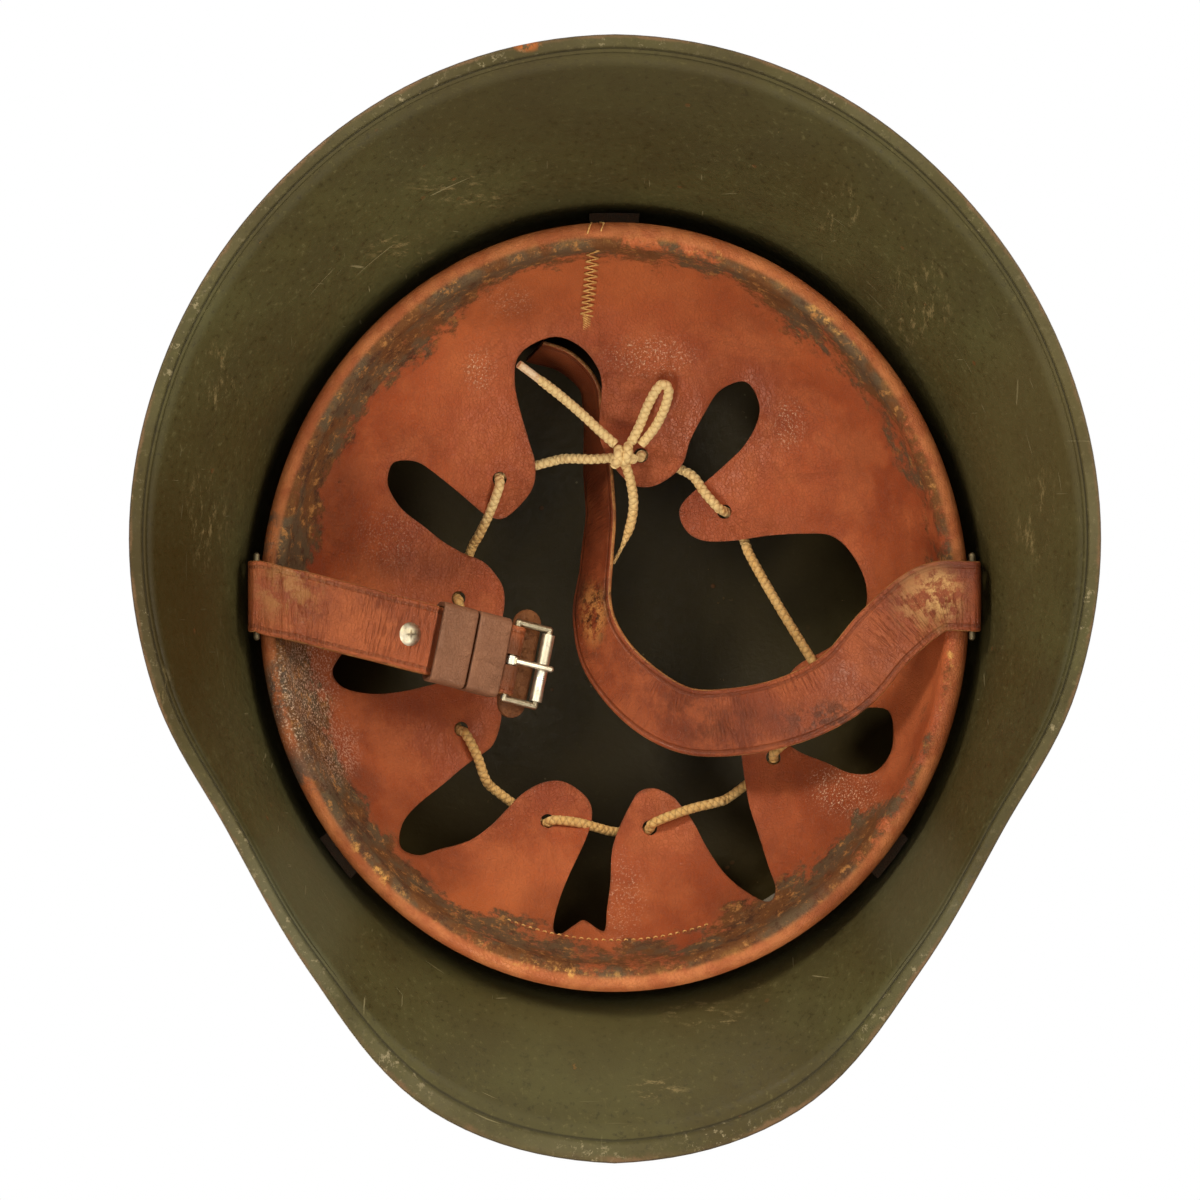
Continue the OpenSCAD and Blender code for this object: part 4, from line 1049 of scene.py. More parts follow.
def thicken(bm, base, by):
    """Extrudes one face into a closed block."""
    grown = bmesh.ops.extrude_face_region(bm, geom=[base])["geom"]
    bmesh.ops.translate(bm, vec=by, verts=[v for v in grown if isinstance(v, bmesh.types.BMVert)])


def prism(bm, points):
    base = bm.faces.new([bm.verts.new((p[0] * MM, p[1] * MM, CUT_LOW)) for p in points])
    thicken(bm, base, (0, 0, CUT_HIGH - CUT_LOW))


def cut_away(bm, cutter_bm):
    """A new bmesh: the first with the cutter's space taken out of it."""
    bmesh.ops.recalc_face_normals(cutter_bm, faces=cutter_bm.faces)
    objects = []
    for name, source in (("cut_target", bm), ("cut_tool", cutter_bm)):
        mesh = bpy.data.meshes.new(name)
        source.to_mesh(mesh)
        source.free()
        obj = bpy.data.objects.new(name, mesh)
        bpy.context.scene.collection.objects.link(obj)
        objects.append(obj)
    target, tool = objects
    mod = target.modifiers.new("cut", "BOOLEAN")
    mod.operation, mod.solver, mod.object = "DIFFERENCE", "EXACT", tool
    bpy.context.view_layer.update()
    done = bpy.data.meshes.new_from_object(target.evaluated_get(bpy.context.evaluated_depsgraph_get()))
    out = bmesh.new()
    out.from_mesh(done)
    for obj in objects:
        bpy.data.objects.remove(obj)
    return out


cutter = bmesh.new()
prism(cutter, outline)
leather_bm = cut_away(spun(leather_section(), 300), cutter)
holes = bmesh.new()
for x, y in LACE_HOLES:
    turns = [2 * pi * k / HOLE_SIDES for k in range(HOLE_SIDES)]
    prism(holes, [(x + HOLE_R * cos(a), y + HOLE_R * sin(a)) for a in turns])
leather_bm = cut_away(leather_bm, holes)
print("leather faces after cutting", len(leather_bm.faces))

# %% [markdown]
# Leather that has been sat in for years is never even. Each vertex moves a
# little along the dome's normal: a slow wave over each finger, and a curl at
# the cut edges, which is found from the distance to the outline.

# %% Curl the fingers
tree = KDTree(len(outline))
for i, p in enumerate(outline):
    tree.insert(p, i)
tree.balance()
BEAD_SHARE, CURL_REACH = 0.93, 7


def to_outline(co):
    """How far a place is from the fingers' outline in plan, in millimetres."""
    return tree.find(Vector((co.x / MM, co.y / MM, 0)))[2]


def oval_share(co):
    """0 in the liner's middle and 1 at its oval edge."""
    return hypot(co.x / MM / HALF_W, co.y / MM / HALF_L)


for v in leather_bm.verts:
    x, y = v.co.x / MM, v.co.y / MM
    share = oval_share(v.co)
    if share > BEAD_SHARE or v.co.z / MM < BEAD_MID + 4 and share > 0.9:
        continue
    ease = blend01((BEAD_SHARE - share) / 0.15)
    near = to_outline(v.co)
    wave = noise.noise(Vector((x, y, 3)) * 0.028) * 2.2 + noise.noise(Vector((x, y, 9)) * 0.075) * 0.9
    curl = max(0, 1 - near / CURL_REACH) ** 2 * (0.4 + 1.4 * noise.noise(Vector((x, y, 20)) * 0.04))
    n = (leather_point(x, y, 1) - leather_point(x, y, 0)).normalized()
    v.co += n * (wave * ease * 0.8 - curl * ease) * MM
print("curl done")

# %% [markdown]
# The liner's colour is even red-brown hide with warm, lighter clouds, partly its own tone and partly painted
# highlights where the leather bulges. It is darker and redder where hair and hands have worked on it in some ovals,
# and darker beside the slots, where each vertex carries its distance from them. One oval is the buckle strap's painted
# shadow.

# %% Liner leather: colour
# Each row is x, y, half width, half length, amount and colour. The row at 56, 12 is the buckle strap's painted shadow.
# The others are worn, darker places.
WORN_AND_SHADOW = [(80, 30, 13, 26, 0.6, (120, 60, 37)), (75, -52, 11, 9, 0.65, (108, 60, 44)),
        (50, -76, 13, 8, 0.55, (112, 54, 35)), (56, 12, 24, 7, 0.45, (116, 58, 35)),
        (-72, 50, 13, 24, 0.45, (126, 62, 40)), (-36, -85, 15, 8, 0.55, (108, 54, 35)),
        (34, 88, 30, 9, 0.5, (116, 56, 33)), (-46, 84, 16, 8, 0.4, (124, 60, 38)),
        (-84, -10, 8, 22, 0.35, (130, 66, 44)), (58, 46, 12, 9, 0.4, (124, 62, 36)),
        (20, -86, 12, 8, 0.4, (124, 60, 38)), (-62, -62, 12, 9, 0.4, (126, 60, 38))]
liner_hide = hide_finish("liner_hide", srgb(196, 110, 70), srgb(178, 90, 56), srgb(140, 64, 38), roughness=0.36,
                         crease=0.35)
f = liner_hide
# Lighter warm clouds: partly the hide's own tone, partly painted highlights where the leather bulges.
lighter_tone_and_highlight = f.fade(f.noise(f.here, 13, 3, 0.5), 0.42, 0.68)
f.colour = f.blend(f.times(lighter_tone_and_highlight, 0.6), f.colour, srgb(208, 118, 72))
mottle = f.fade(f.noise(f.here, 48, 7, 0.72), 0.4, 0.58, 0.35, 1.0)
f.colour = f.tinted(f.colour, WORN_AND_SHADOW, mottle)
# Darker beside the slots.
darker_share = f.times(f.attribute("near_slot"), f.fade(f.noise(f.here, 26, 4, 0.6), 0.4, 0.6))
f.colour = f.blend(f.times(darker_share, 0.42), f.colour, srgb(122, 54, 32))
print("worn places on the liner:", len(WORN_AND_SHADOW))

# %% [markdown]
# Beside the bead runs a band that hair and sweat have stained dark, with a
# rubbed golden nap in it. It follows the liner's oval, so the finish measures
# how far out a point lies on the oval, and a noise frays both its borders. How
# deep the stain is changes round the liner, and each vertex carries that too.

# %% Liner leather: the stained band
oval = f.put("ShaderNodeVectorMath", Vector=f.place(scale=(1000 / HALF_W, 1000 / HALF_L, 0)))
oval.operation = "LENGTH"
share = oval.outputs["Value"]
ragged = f.plus(share, f.times(f.minus(f.noise(f.here, 62, 9, 0.76), 0.5), 0.06))
frayed = f.plus(share, f.times(f.minus(f.noise(f.here, 40, 9, 0.78), 0.5), 0.26))
deep = f.attribute("stain")
inner = f.minus(0.942, f.times(deep, 0.062))
stain = f.times(f.fade(f.minus(frayed, inner), -0.01, 0.01), f.fade(ragged, 0.974, 0.956))
stain = f.times(stain, f.fade(f.plus(f.noise(f.here, 44, 9, 0.8), f.times(deep, 0.3)), 0.6, 0.7))
nap = f.noise(f.here, 260, 8, 0.8)
warm = f.noise(f.here, 60, 4, 0.6)
dark_nap = f.blend(f.fade(warm, 0.44, 0.56), srgb(86, 78, 60), srgb(104, 68, 36))
pits = f.fade(f.noise(f.here, 170, 9, 0.82), 0.49, 0.42)
dark_nap = f.blend(f.times(pits, f.fade(deep, 0.5, 1.0, 0.2, 0.9)), dark_nap, srgb(52, 34, 22))
stain_colour = f.blend(f.fade(nap, 0.53, 0.62), dark_nap, srgb(184, 132, 78))
f.colour = f.blend(f.times(stain, 0.9), f.colour, stain_colour)
print("stain band starts", round(0.942 - 0.062, 3), "of the way out where it is deepest")

# %% [markdown]
# The bead is rubbed to a light orange tan, with soot on it at three places and
# golden fuzz along its foot.

# %% Liner leather: the bead
SOOT = [(95, -24, 7, 15), (90, -50, 8, 15), (99, 24, 6, 14)]
RUBBED = [(-60, 78, 14, 14), (-97, -20, 10, 34), (20, -100, 34, 12), (66, -72, 14, 20), (-24, 100, 14, 8)]
bead_colour = f.blend(f.fade(f.noise(f.here, 90, 5, 0.7), 0.4, 0.62), srgb(176, 98, 60), srgb(204, 128, 82))
f.colour = f.blend(f.times(f.fade(share, 0.952, 0.968), 0.85), f.colour, bead_colour)
soot = f.times(f.spots(SOOT), f.fade(f.noise(f.here, 75, 8, 0.78), 0.45, 0.54))
f.colour = f.blend(f.times(soot, 0.85), f.colour, srgb(94, 84, 76))
fuzz = f.times(f.fade(share, 0.938, 0.952), f.fade(share, 0.974, 0.96))
fuzz = f.times(fuzz, f.fade(f.noise(f.here, 140, 6, 0.75), 0.52, 0.62))
f.colour = f.blend(f.times(fuzz, f.spots(RUBBED, 0.15)), f.colour, srgb(222, 168, 98))
print("rubbed places on the bead:", len(RUBBED))

# %% [markdown]
# Fine pale specks of painted highlight glint over the leather, strongest in a few places. The cut edges show the raw
# middle of the hide, a little darker with age.

# %% Liner leather: painted glints and cut edges
PAINTED_GLINTS = [(89, -26, 13, 24, 1), (-66, -53, 14, 10, 0.9), (-11, 73, 17, 8, 0.8), (-51, 53, 6, 10, 0.7),
          (39, 69, 6, 9, 0.8), (-2, -84, 10, 18, 0.5), (30, 88, 10, 6, 0.4), (66, 20, 12, 14, 0.25)]
PAINTED_SPARKLE = [(87, -20, 10, 22), (79, -42, 8, 12)]
# Painted glints: a very fine pale grit of painted highlights, strongest at the listed places.
shine = f.noise(f.here, 1500, 4, 0.75)
painted_glints = f.times(f.fade(shine, 0.55, 0.64), f.plus(0.04, f.times(f.spots(PAINTED_GLINTS), 0.9)))
f.colour = f.blend(painted_glints, f.colour, srgb(244, 216, 196))
# A denser painted sparkle of highlights at two places.
bright = f.times(f.fade(shine, 0.5, 0.57), f.spots(PAINTED_SPARKLE))
f.colour = f.blend(f.times(bright, 0.42), f.colour, srgb(240, 206, 190))
f.colour = f.blend(f.fade(f.noise(f.here, 20, 5, 0.6), 0.6, 0.74, 0.0, 0.4), f.colour, srgb(124, 62, 40))
f.colour = f.blend(f.fade(f.attribute("cut_edge"), 0.55, 1.0, 0.0, 0.6), f.colour, srgb(112, 62, 38))
f.rough = f.plus(f.rough, f.times(stain, 0.3))
f.height = f.plus(f.height, f.times(stain, f.times(nap, 1.2)))
finish_hide(f, 0.0004, 0.85)
print("glinting places:", len(PAINTED_GLINTS) + len(PAINTED_SPARKLE))

# %% [markdown]
# The piece goes in the scene with the three numbers that its finish reads.

# %% Liner piece and its wear numbers
# How deep the stain is round the liner, every 30 degrees from the visor
STAIN = [0.75, 0.9, 1.0, 0.85, 1.0, 0.95, 0.45, 0.75, 0.6, 0.25, 0.5, 0.95, 0.75]
SLOT_REACH, EDGE_REACH = 13, 2.2
leather = piece("liner_leather_dressed", leather_bm, liner_hide, "helmet", ("liner_leather",),
                sharp_deg=40)
places = [v.co for v in leather.data.vertices]
carry(leather, "stain", [station(STAIN, (degrees(atan2(co.x, -co.y)) % 360) / 30) for co in places])
carry(leather, "near_slot", [max(0, 1 - to_outline(co) / SLOT_REACH) for co in places])
carry(leather, "cut_edge", [max(0, 1 - to_outline(co) / EDGE_REACH) if oval_share(co) < BEAD_SHARE else 0
                            for co in places])
print("leather vertices", len(places))

# %% [markdown]
# ## Thread
# Two seams show on the liner. Each stitch is a tiny thread, made with the same
# sweep as the cord. All the stitches of a seam are joined to one piece, because
# they never move on their own.

# %% Thread finish and helper
THREAD_SIDES = 6
thread = Finish("thread", roughness=0.8, specular=0.3)
ply = thread.noise(thread.place(), 1500, 3, 0.6)
thread.set(Base_Color=thread.blend(thread.fade(ply, 0.4, 0.6), srgb(230, 186, 122), srgb(200, 148, 90)),
           Normal=thread.bump(ply, 0.0001, 0.6))


def threads(name, lines, diameter):
    """Several short threads as one piece. Each line is a list of places in metres."""
    whole = bmesh.new()
    for line in lines:
        part = sweep(frames_along(line, (0.3, 0.1, 1)), [round_section(diameter, THREAD_SIDES)])
        mesh = bpy.data.meshes.new("part")
        part.to_mesh(mesh)
        part.free()
        whole.from_mesh(mesh)
        bpy.data.meshes.remove(mesh)
    return piece(name, whole, thread, "helmet")


print("a thread has", THREAD_SIDES, "sides")

# %% [markdown]
# A row of stitches holds the felt behind the leather, and shows at the front
# only, where the leather has drawn back from it. Each stitch starts behind the
# leather, comes out over its face and dives back in.

# %% Row of stitches at the front
STITCHES_ROUND, ROW_SHARE, ROW_D = 260, 0.877, 0.45
# A stitch's own line: how far along it, and how far over the leather (minus is in front)
STITCH = [(0, 0.3), (0.2, -0.12), (0.5, -0.22), (0.8, -0.12), (1, 0.3)]


def stitch(i):
    a0, a1 = (2 * pi * (i + f) / STITCHES_ROUND for f in (0.15, 0.68))
    line = []
    for f, lift in STITCH:
        a = a0 + (a1 - a0) * f
        line.append(leather_point(HALF_W * ROW_SHARE * sin(a), -HALF_L * ROW_SHARE * cos(a), lift) * MM)
    return line


rows = [stitch(i) for i in range(-13, 15)]
threads("liner_stitches", rows, ROW_D * MM)
print("stitches in the row:", len(rows))

# %% [markdown]
# The zigzag runs from the bead down the rear of the liner. Each point goes a
# little left or right of the seam's line, with a small wander, and the thread's
# lower end is a few loose short stitches. Two stitches go over the bead.

# %% Zigzag seam at the rear
ZIGS, ZIG_STEP, SEAM_D = 27, 0.76, 0.5
zigzag = []
for i in range(ZIGS):
    y = 104.2 - ZIG_STEP * i
    x = 5.6 + (1.9 if i % 2 else -1.7) + 0.09 * i
    zigzag.append(leather_point(x + 0.5 * noise.noise(Vector((i * 1.3, 0, 0))), y, -0.32) * MM)
over_bead = [[Vector(p) * MM for p in line] for line in (((4.1, 108.9, 60.0), (2.9, 108.4, 57.6), (3.7, 106.6, 57.1)),
                                                         ((6.5, 108.7, 59.6), (6.9, 107.8, 57.4), (7.5, 105.8, 57.3)))]
runs = [[a, (a + b) / 2 - Vector((0, 0, 0.0001)), b] for a, b in zip(zigzag, zigzag[1:])]
for i in range(12):
    y = 76.8 + 0.62 * i
    runs.append([leather_point(6.9 + 1.8 * noise.noise(Vector((i, 5, 0))), y, -0.25) * MM,
                 leather_point(9.0 + 1.8 * noise.noise(Vector((i, 9, 0))), y + 1.2, -0.3) * MM])
runs += [line + [zigzag[i]] for i, line in enumerate(over_bead)]
threads("rear_seam", runs, SEAM_D * MM)
print("zigzag stretches:", len(runs))

# %% [markdown]
# ## The buckle strap
# The strap leans and turns a little, so it gets three directions of its own:
# along it, across it and away from the leather behind it. Every place on it,
# such as the rivet's or the hinge's, is then a few plain numbers.

# %% The strap's own directions
TILT, SLEW = radians(30), radians(13)
BAR_X, BAR_Z, LOOP_Y = HALF_W + 0.3, 54.0, 3.0
BEND = Vector((BAR_X - 8.5, LOOP_Y - 2, BAR_Z + 0.75))
ALONG = Vector((-cos(SLEW) * cos(TILT), -sin(SLEW), cos(SLEW) * sin(TILT)))
ACROSS = Vector((sin(SLEW) * cos(TILT), -cos(SLEW), -sin(SLEW) * sin(TILT)))
AWAY = Vector((sin(TILT), 0, cos(TILT)))
RIVET_U, SLIDE_U, KEEPER_W = 39.0, 47.6, 11.4
FIXED_U = SLIDE_U + KEEPER_W + 0.6
HINGE_U = FIXED_U + KEEPER_W + 2.2
HINGE_W = -1.55
STRAP_T, STRAP_W = 1.5, 20.0


def on_strap(u, v, w):
    """A place on the strap in metres: along, across and away, from its bend."""
    return (BEND + u * ALONG + v * ACROSS + w * AWAY) * MM


print("buckle hinge at", [round(c, 4) for c in on_strap(HINGE_U, 0, HINGE_W)])

# %% [markdown]
# One strip of leather makes the whole strap. It starts under the rivet, goes
# down to the wire loop, round its bar, back up through the two keepers, round
# the buckle's bar and back under the fixed keeper. Following that one line
# gives both layers, the two eyes and the soft bend at the bead.

# %% The strip's line
BAR_WAY = Vector((0, -1, 0))
EYE_R, EYE_IN = 1.72, 3.2
UNDER = -STRAP_T - 0.02
BACK_U = [46.4, 42, 36, 30, 24, 18, 12, 7, 3.5]
FACE_U = [(3.5, 0), (8, 0), (16, 0), (26, 0), (36, 0), (46, 0), (56, 0), (64, 0), (HINGE_U - 4, 0),
          (HINGE_U - 1.5, 0.1)]
TURNED_U = [(HINGE_U - 1.6, -3.0), (HINGE_U - 3.4, -2.1), (HINGE_U - 5.5, -1.62), (FIXED_U + 4, UNDER),
            (FIXED_U + 0.4, UNDER)]


def across_at(u):
    """The strap's way across, which turns from the bar's to its own."""
    return BAR_WAY.lerp(ACROSS, blend01(u / 20))


def flat_place(x, z):
    """A place on the flat stretch between the bend and the loop's bar."""
    return Vector((x, BEND.y + (x - BEND.x) / (BAR_X - BEND.x) * (LOOP_Y - BEND.y), z)) * MM, BAR_WAY


def flat_stretch(shares, shift, z):
    return [flat_place(BEND.x + f * (BAR_X - 5 - BEND.x) + shift, z) for f in shares]


def loop_eye():
    places = []
    for t in range(-90, 100, 30):
        x, z = BAR_X + EYE_R * cos(radians(t)), BAR_Z + EYE_R * sin(radians(t))
        places.append((Vector((x, LOOP_Y, z)) * MM, BAR_WAY))
    return places


def buckle_eye():
    places = []
    for t in range(90, -91, -30):
        u, w = HINGE_U + EYE_R * cos(radians(t)), HINGE_W + EYE_R * sin(radians(t))
        places.append((on_strap(u, 0, w), ACROSS))
    return places


def strip_line():
    """Places on the middle of the strip, each with the strip's direction across."""
    route = [(on_strap(u, 0, UNDER), across_at(u)) for u in BACK_U]
    route += flat_stretch((0.1, 0.45, 0.8), -0.2, BEND.z + UNDER)
    route.append(flat_place(BAR_X - EYE_IN, BAR_Z - 1.15))
    route += loop_eye()
    route.append(flat_place(BAR_X - EYE_IN, BAR_Z + 1.15))
    route += flat_stretch((0.8, 0.45, 0.1), 0.2, BEND.z)
    route += [(on_strap(u, 0, w), across_at(u)) for u, w in FACE_U]
    route += buckle_eye()
    return route + [(on_strap(u, 0, w), ACROSS) for u, w in TURNED_U]


print("the strip passes", len(strip_line()), "chosen places")

# %% [markdown]
# The strip is swept with its own direction across at each place, so it twists
# as it is told. Where it runs askew to that direction it would get narrow, so
# the width is set right by the slant. A slot lets the buckle's prong through.

# %% The strip
LEATHER_STRIP_T, WANDER = 1.42, 0.5
PRONG_SLOT = (8, 3.2, 10)


def ribbon(route, steps, width, thick, wander):
    """A strap swept along places that each have a direction across."""
    line = smooth_line([p for p, _ in route], steps)
    sides = smooth_line([a for _, a in route], steps)
    frames = []
    sections = []
    for i, p in enumerate(line):
        t = (line[min(len(line) - 1, i + 1)] - line[max(0, i - 1)]).normalized()
        side = sides[i].normalized()
        slant = side.cross(t).length
        frames.append((p, side, side.cross(t).normalized()))
        w = (width + wander * noise.noise(Vector((i * 0.11, 0, width * 999)))) / slant
        sections.append(strap_section(w, thick))
    return sweep(frames, sections), line


strip_bm, strip = ribbon(strip_line(), 5, STRAP_W * MM, LEATHER_STRIP_T * MM, WANDER * MM)
slot_cutter = bmesh.new()
bmesh.ops.create_cube(slot_cutter, size=1)
turn = Matrix((ALONG, ACROSS, AWAY)).transposed().to_4x4()
size = Matrix.Diagonal([c * MM for c in PRONG_SLOT] + [1])
bmesh.ops.transform(slot_cutter, matrix=Matrix.Translation(on_strap(HINGE_U + 1.4, 0, HINGE_W)) @ turn @ size,
                    verts=slot_cutter.verts)
strip_bm = cut_away(strip_bm, slot_cutter)
print("strip is", round(line_length(strip) / MM), "mm long")

# %% [markdown]
# A pressed line runs 1.6 mm in from each edge of the strap. The strip's V
# coordinate goes once round its section, so two narrow bands of V make the
# lines on its face, and a fast wave along U makes the stitches in them.

# %% Strap finish with pressed lines
LINES_V = (3.45 / 30, 10.55 / 30, 18.45 / 30, 25.55 / 30)
STITCH_STEP = 0.0024


def pressed_lines(f, along, around, stitched):
    """Grooves and the stitches in them. Gives both, for the relief."""
    near = 1.0
    for v in LINES_V:
        near = f.calc("MINIMUM", near, f.calc("ABSOLUTE", f.minus(around, v)))
    groove = f.fade(near, 0.003, 0.01, 1.0, 0.0)
    wave = f.calc("SINE", f.times(along, 2 * pi / STITCH_STEP))
    stitch = f.times(f.fade(wave, -0.2, 0.4), f.times(groove, stitched))
    f.colour = f.blend(f.times(groove, 0.45), f.colour, srgb(92, 44, 26))
    f.colour = f.blend(f.times(stitch, 0.2), f.colour, srgb(150, 92, 56))
    return groove, stitch


def cross_creases(f):
    """Short creases across the width."""
    hatch = f.noise(f.place(scale=(1500, 9, 1), source="UV"), 1.0, 4, 0.6)
    hatch = f.times(f.fade(hatch, 0.5, 0.64), f.fade(f.noise(f.here, 40, 3, 0.6), 0.42, 0.6))
    f.colour = f.blend(f.times(hatch, 0.4), f.colour, srgb(104, 48, 30))
    return hatch


def raw_edges(f, around):
    """Light raw edges with dark specks."""
    side = f.fade(f.calc("ABSOLUTE", f.minus(around, EDGE_V)), 0.075, 0.05)
    end_side = f.most(f.fade(around, 0.05, 0.03), f.fade(around, 0.9, 0.925))
    raw = f.times(f.most(side, end_side), f.fade(f.noise(f.here, 160, 5, 0.75), 0.4, 0.6, 0.25, 0.85))
    f.colour = f.blend(raw, f.colour, srgb(196, 142, 88))
    specks = f.fade(f.noise(f.here, 420, 4, 0.8), 0.56, 0.64)
    f.colour = f.blend(f.times(raw, specks), f.colour, srgb(70, 44, 28))


def stitched_hide(name, light, mid, dark, stitched=1.0):
    f = hide_finish(name, light, mid, dark, roughness=0.36, crease=0.3)
    along, around, _ = f.split(f.place(source="UV"))
    groove, stitch = pressed_lines(f, along, around, stitched)
    hatch = cross_creases(f)
    raw_edges(f, around)
    f.height = f.plus(f.height, f.minus(f.times(stitch, 0.6), f.plus(groove, f.times(hatch, 0.7))))
    return f


def ragged_patch(f, x, y, half_x, half_y, colour, amount=0.8, scale=150, low=0.42, high=0.56):
    """A ragged patch of another colour at a place on the liner's plan, in millimetres."""
    patch = f.times(f.spot(x, y, half_x, half_y), f.fade(f.noise(f.here, scale, 6, 0.75), low, high))
    f.colour = f.blend(f.times(patch, amount), f.colour, colour)


print("pressed lines on a strap:", len(LINES_V))

# %% [markdown]
# Each strap then gets its own lighter and darker patches, at the places where the photograph shows them: on the bend
# over the bead, at the fold and so on.

# %% Buckle strap piece
strap_leather = stitched_hide("strap_hide_lined", srgb(194, 110, 70), srgb(168, 88, 54), srgb(124, 60, 36))
ragged_patch(strap_leather, 92, 5, 13, 13, srgb(176, 124, 78), 0.75)
ragged_patch(strap_leather, 30.5, -15.5, 8, 14, srgb(96, 54, 28), 0.9, 60, 0.2, 0.4)
ragged_patch(strap_leather, 44, -9, 12, 5, srgb(116, 58, 38), 0.6)
finish_hide(strap_leather)
piece("buckle_strap_leather", strip_bm, strap_leather, "buckle_strap", ("strap_left",), sharp_deg=50)

# %% [markdown]
# ## Keepers and guard
# A keeper is a short leather band round the strap, soft enough to bulge. It is
# a flat section carried once round the strap and closed. The fixed one is a
# little narrower, so that the prong clears it when the buckle is turned up.

# %% Keepers
KEEPER_T, HALF_T, KEEPER_CLEAR, KEEPER_CORNER, KEEPER_SWELL = 1.35, 0.7, 0.3, 1.3, 0.22
KEEPER_LOW, KEEPER_HIGH = -1.5 * STRAP_T - 0.1, STRAP_T / 2 + 0.1
PRONG_ROOM = 0.7


def keeper_piece(name, u, high, body, node, width):
    """A keeper that starts at u along the strap and closes round it up to the height high."""
    half, r = STRAP_W / 2 + KEEPER_CLEAR + HALF_T, KEEPER_CORNER
    low, high = KEEPER_LOW - HALF_T, high + HALF_T
    corners = [(half - r, high - r, 0), (-half + r, high - r, 90), (-half + r, low + r, 180), (half - r, low + r, 270)]
    flat = []
    for i, (cx, cy, start) in enumerate(corners):
        for t in range(0, 91, 15):
            flat.append((cx + r * cos(radians(start + t)), cy + r * sin(radians(start + t))))
        nx, ny, _ = corners[(i + 1) % 4]
        a = flat[-1]
        b = (nx + r * cos(radians(start + 90)), ny + r * sin(radians(start + 90)))
        for s in range(1, 8):
            flat.append((a[0] + (b[0] - a[0]) * s / 8, a[1] + (b[1] - a[1]) * s / 8))
    frames = []
    middle = (low + high) / 2
    for i, (v, w) in enumerate(flat):
        swell = KEEPER_SWELL * (1 - abs(v) / half) if abs(w - middle) > 1 else 0
        place = on_strap(u + width / 2, v, w + (swell if w > middle else -swell))
        a, b = flat[i - 1], flat[(i + 1) % len(flat)]
        t = (ACROSS * (b[0] - a[0]) + AWAY * (b[1] - a[1])).normalized()
        frames.append((place, ALONG, ALONG.cross(t).normalized()))
    bm = sweep(frames, [strap_section(width * MM, KEEPER_T * MM)], closed=True)
    return piece(name, bm, keeper_hide, body, (node,), sharp_deg=50)


keeper_piece("sliding_keeper_leather", SLIDE_U, KEEPER_HIGH, "keeper", "sliding_keeper", KEEPER_W)
keeper_piece("fixed_keeper_leather", FIXED_U, KEEPER_HIGH + STRAP_T + 0.1, "buckle_strap", "fixed_keeper",
             KEEPER_W - PRONG_ROOM)

# %% [markdown]
# The guard is a flat tongue of the same hide, with a round lobe at each side of
# the buckle. It is one outline, extruded and with its edges rounded.

# %% Guard behind the buckle
LOBE_R, LOBE_U, GUARD_W, TONGUE_HALF = 4.5, HINGE_U + 4.5, 32.0, 9.7
GUARD_LOW, GUARD_T, GUARD_ROUND = STRAP_T / 2 + 0.12, 1.46, 0.35


def lobe(middle_v, from_deg):
    turns = [radians(t) for t in range(from_deg, from_deg + 181, 15)]
    return [(LOBE_U + LOBE_R * cos(a), middle_v + LOBE_R * sin(a)) for a in turns]


guard_shape = [(FIXED_U + 0.3, -TONGUE_HALF), (LOBE_U - 5.2, -TONGUE_HALF), (LOBE_U - 4.9, -10.4)]
guard_shape += lobe(-GUARD_W / 2 + LOBE_R, 180)
guard_shape += [(LOBE_U + LOBE_R, -6), (LOBE_U + LOBE_R + 0.1, 0), (LOBE_U + LOBE_R, 6)]
guard_shape += lobe(GUARD_W / 2 - LOBE_R, 0)
guard_shape += [(LOBE_U - 4.9, 10.4), (LOBE_U - 5.2, TONGUE_HALF), (FIXED_U + 0.3, TONGUE_HALF)]
guard_bm = bmesh.new()
base = guard_bm.faces.new([guard_bm.verts.new(on_strap(u, v, GUARD_LOW)) for u, v in guard_shape])
thicken(guard_bm, base, AWAY * GUARD_T * MM)
bmesh.ops.recalc_face_normals(guard_bm, faces=guard_bm.faces)
rims = [e for e in guard_bm.edges if e.calc_face_angle() > radians(60)]
bmesh.ops.bevel(guard_bm, geom=rims, offset=GUARD_ROUND * MM, segments=3, profile=0.5, affect="EDGES", material=-1)
guard_hide = finish_hide(hide_finish("guard_hide", srgb(148, 96, 58), srgb(118, 72, 42), srgb(84, 48, 30),
                                     roughness=0.5))
piece("guard_leather", guard_bm, guard_hide, "buckle_strap", ("buckle_guard",), sharp_deg=40)

# %% [markdown]
# ## The tail strap
# The plain strap hangs on the other loop, lies across the liner and goes behind the knot into the rear slots. Its line
# and its roll are listed, and its section turns about that line, as a real strap twists.

# %% Line and roll of the tail strap
TAIL = [(-99, 3.4, 54), (-89, 2, 57), (-77, -8, 62), (-66, -21, 68), (-52, -29, 76), (-36, -33, 85), (-21, -33, 93),
        (-8, -26, 100), (2.6, -14, 107), (6.4, -1, 112.5), (5, 14, 118), (4, 29, 124), (5, 44, 130), (6, 57, 132),
        (7.5, 66, 131), (14.5, 73, 129), (23.5, 76, 127)]
TAIL_ROLL = [0, 0, 0, 0, 4, 8, 14, 24, 40, 56, 64, 66, 68, 74, 76, 74, 74]


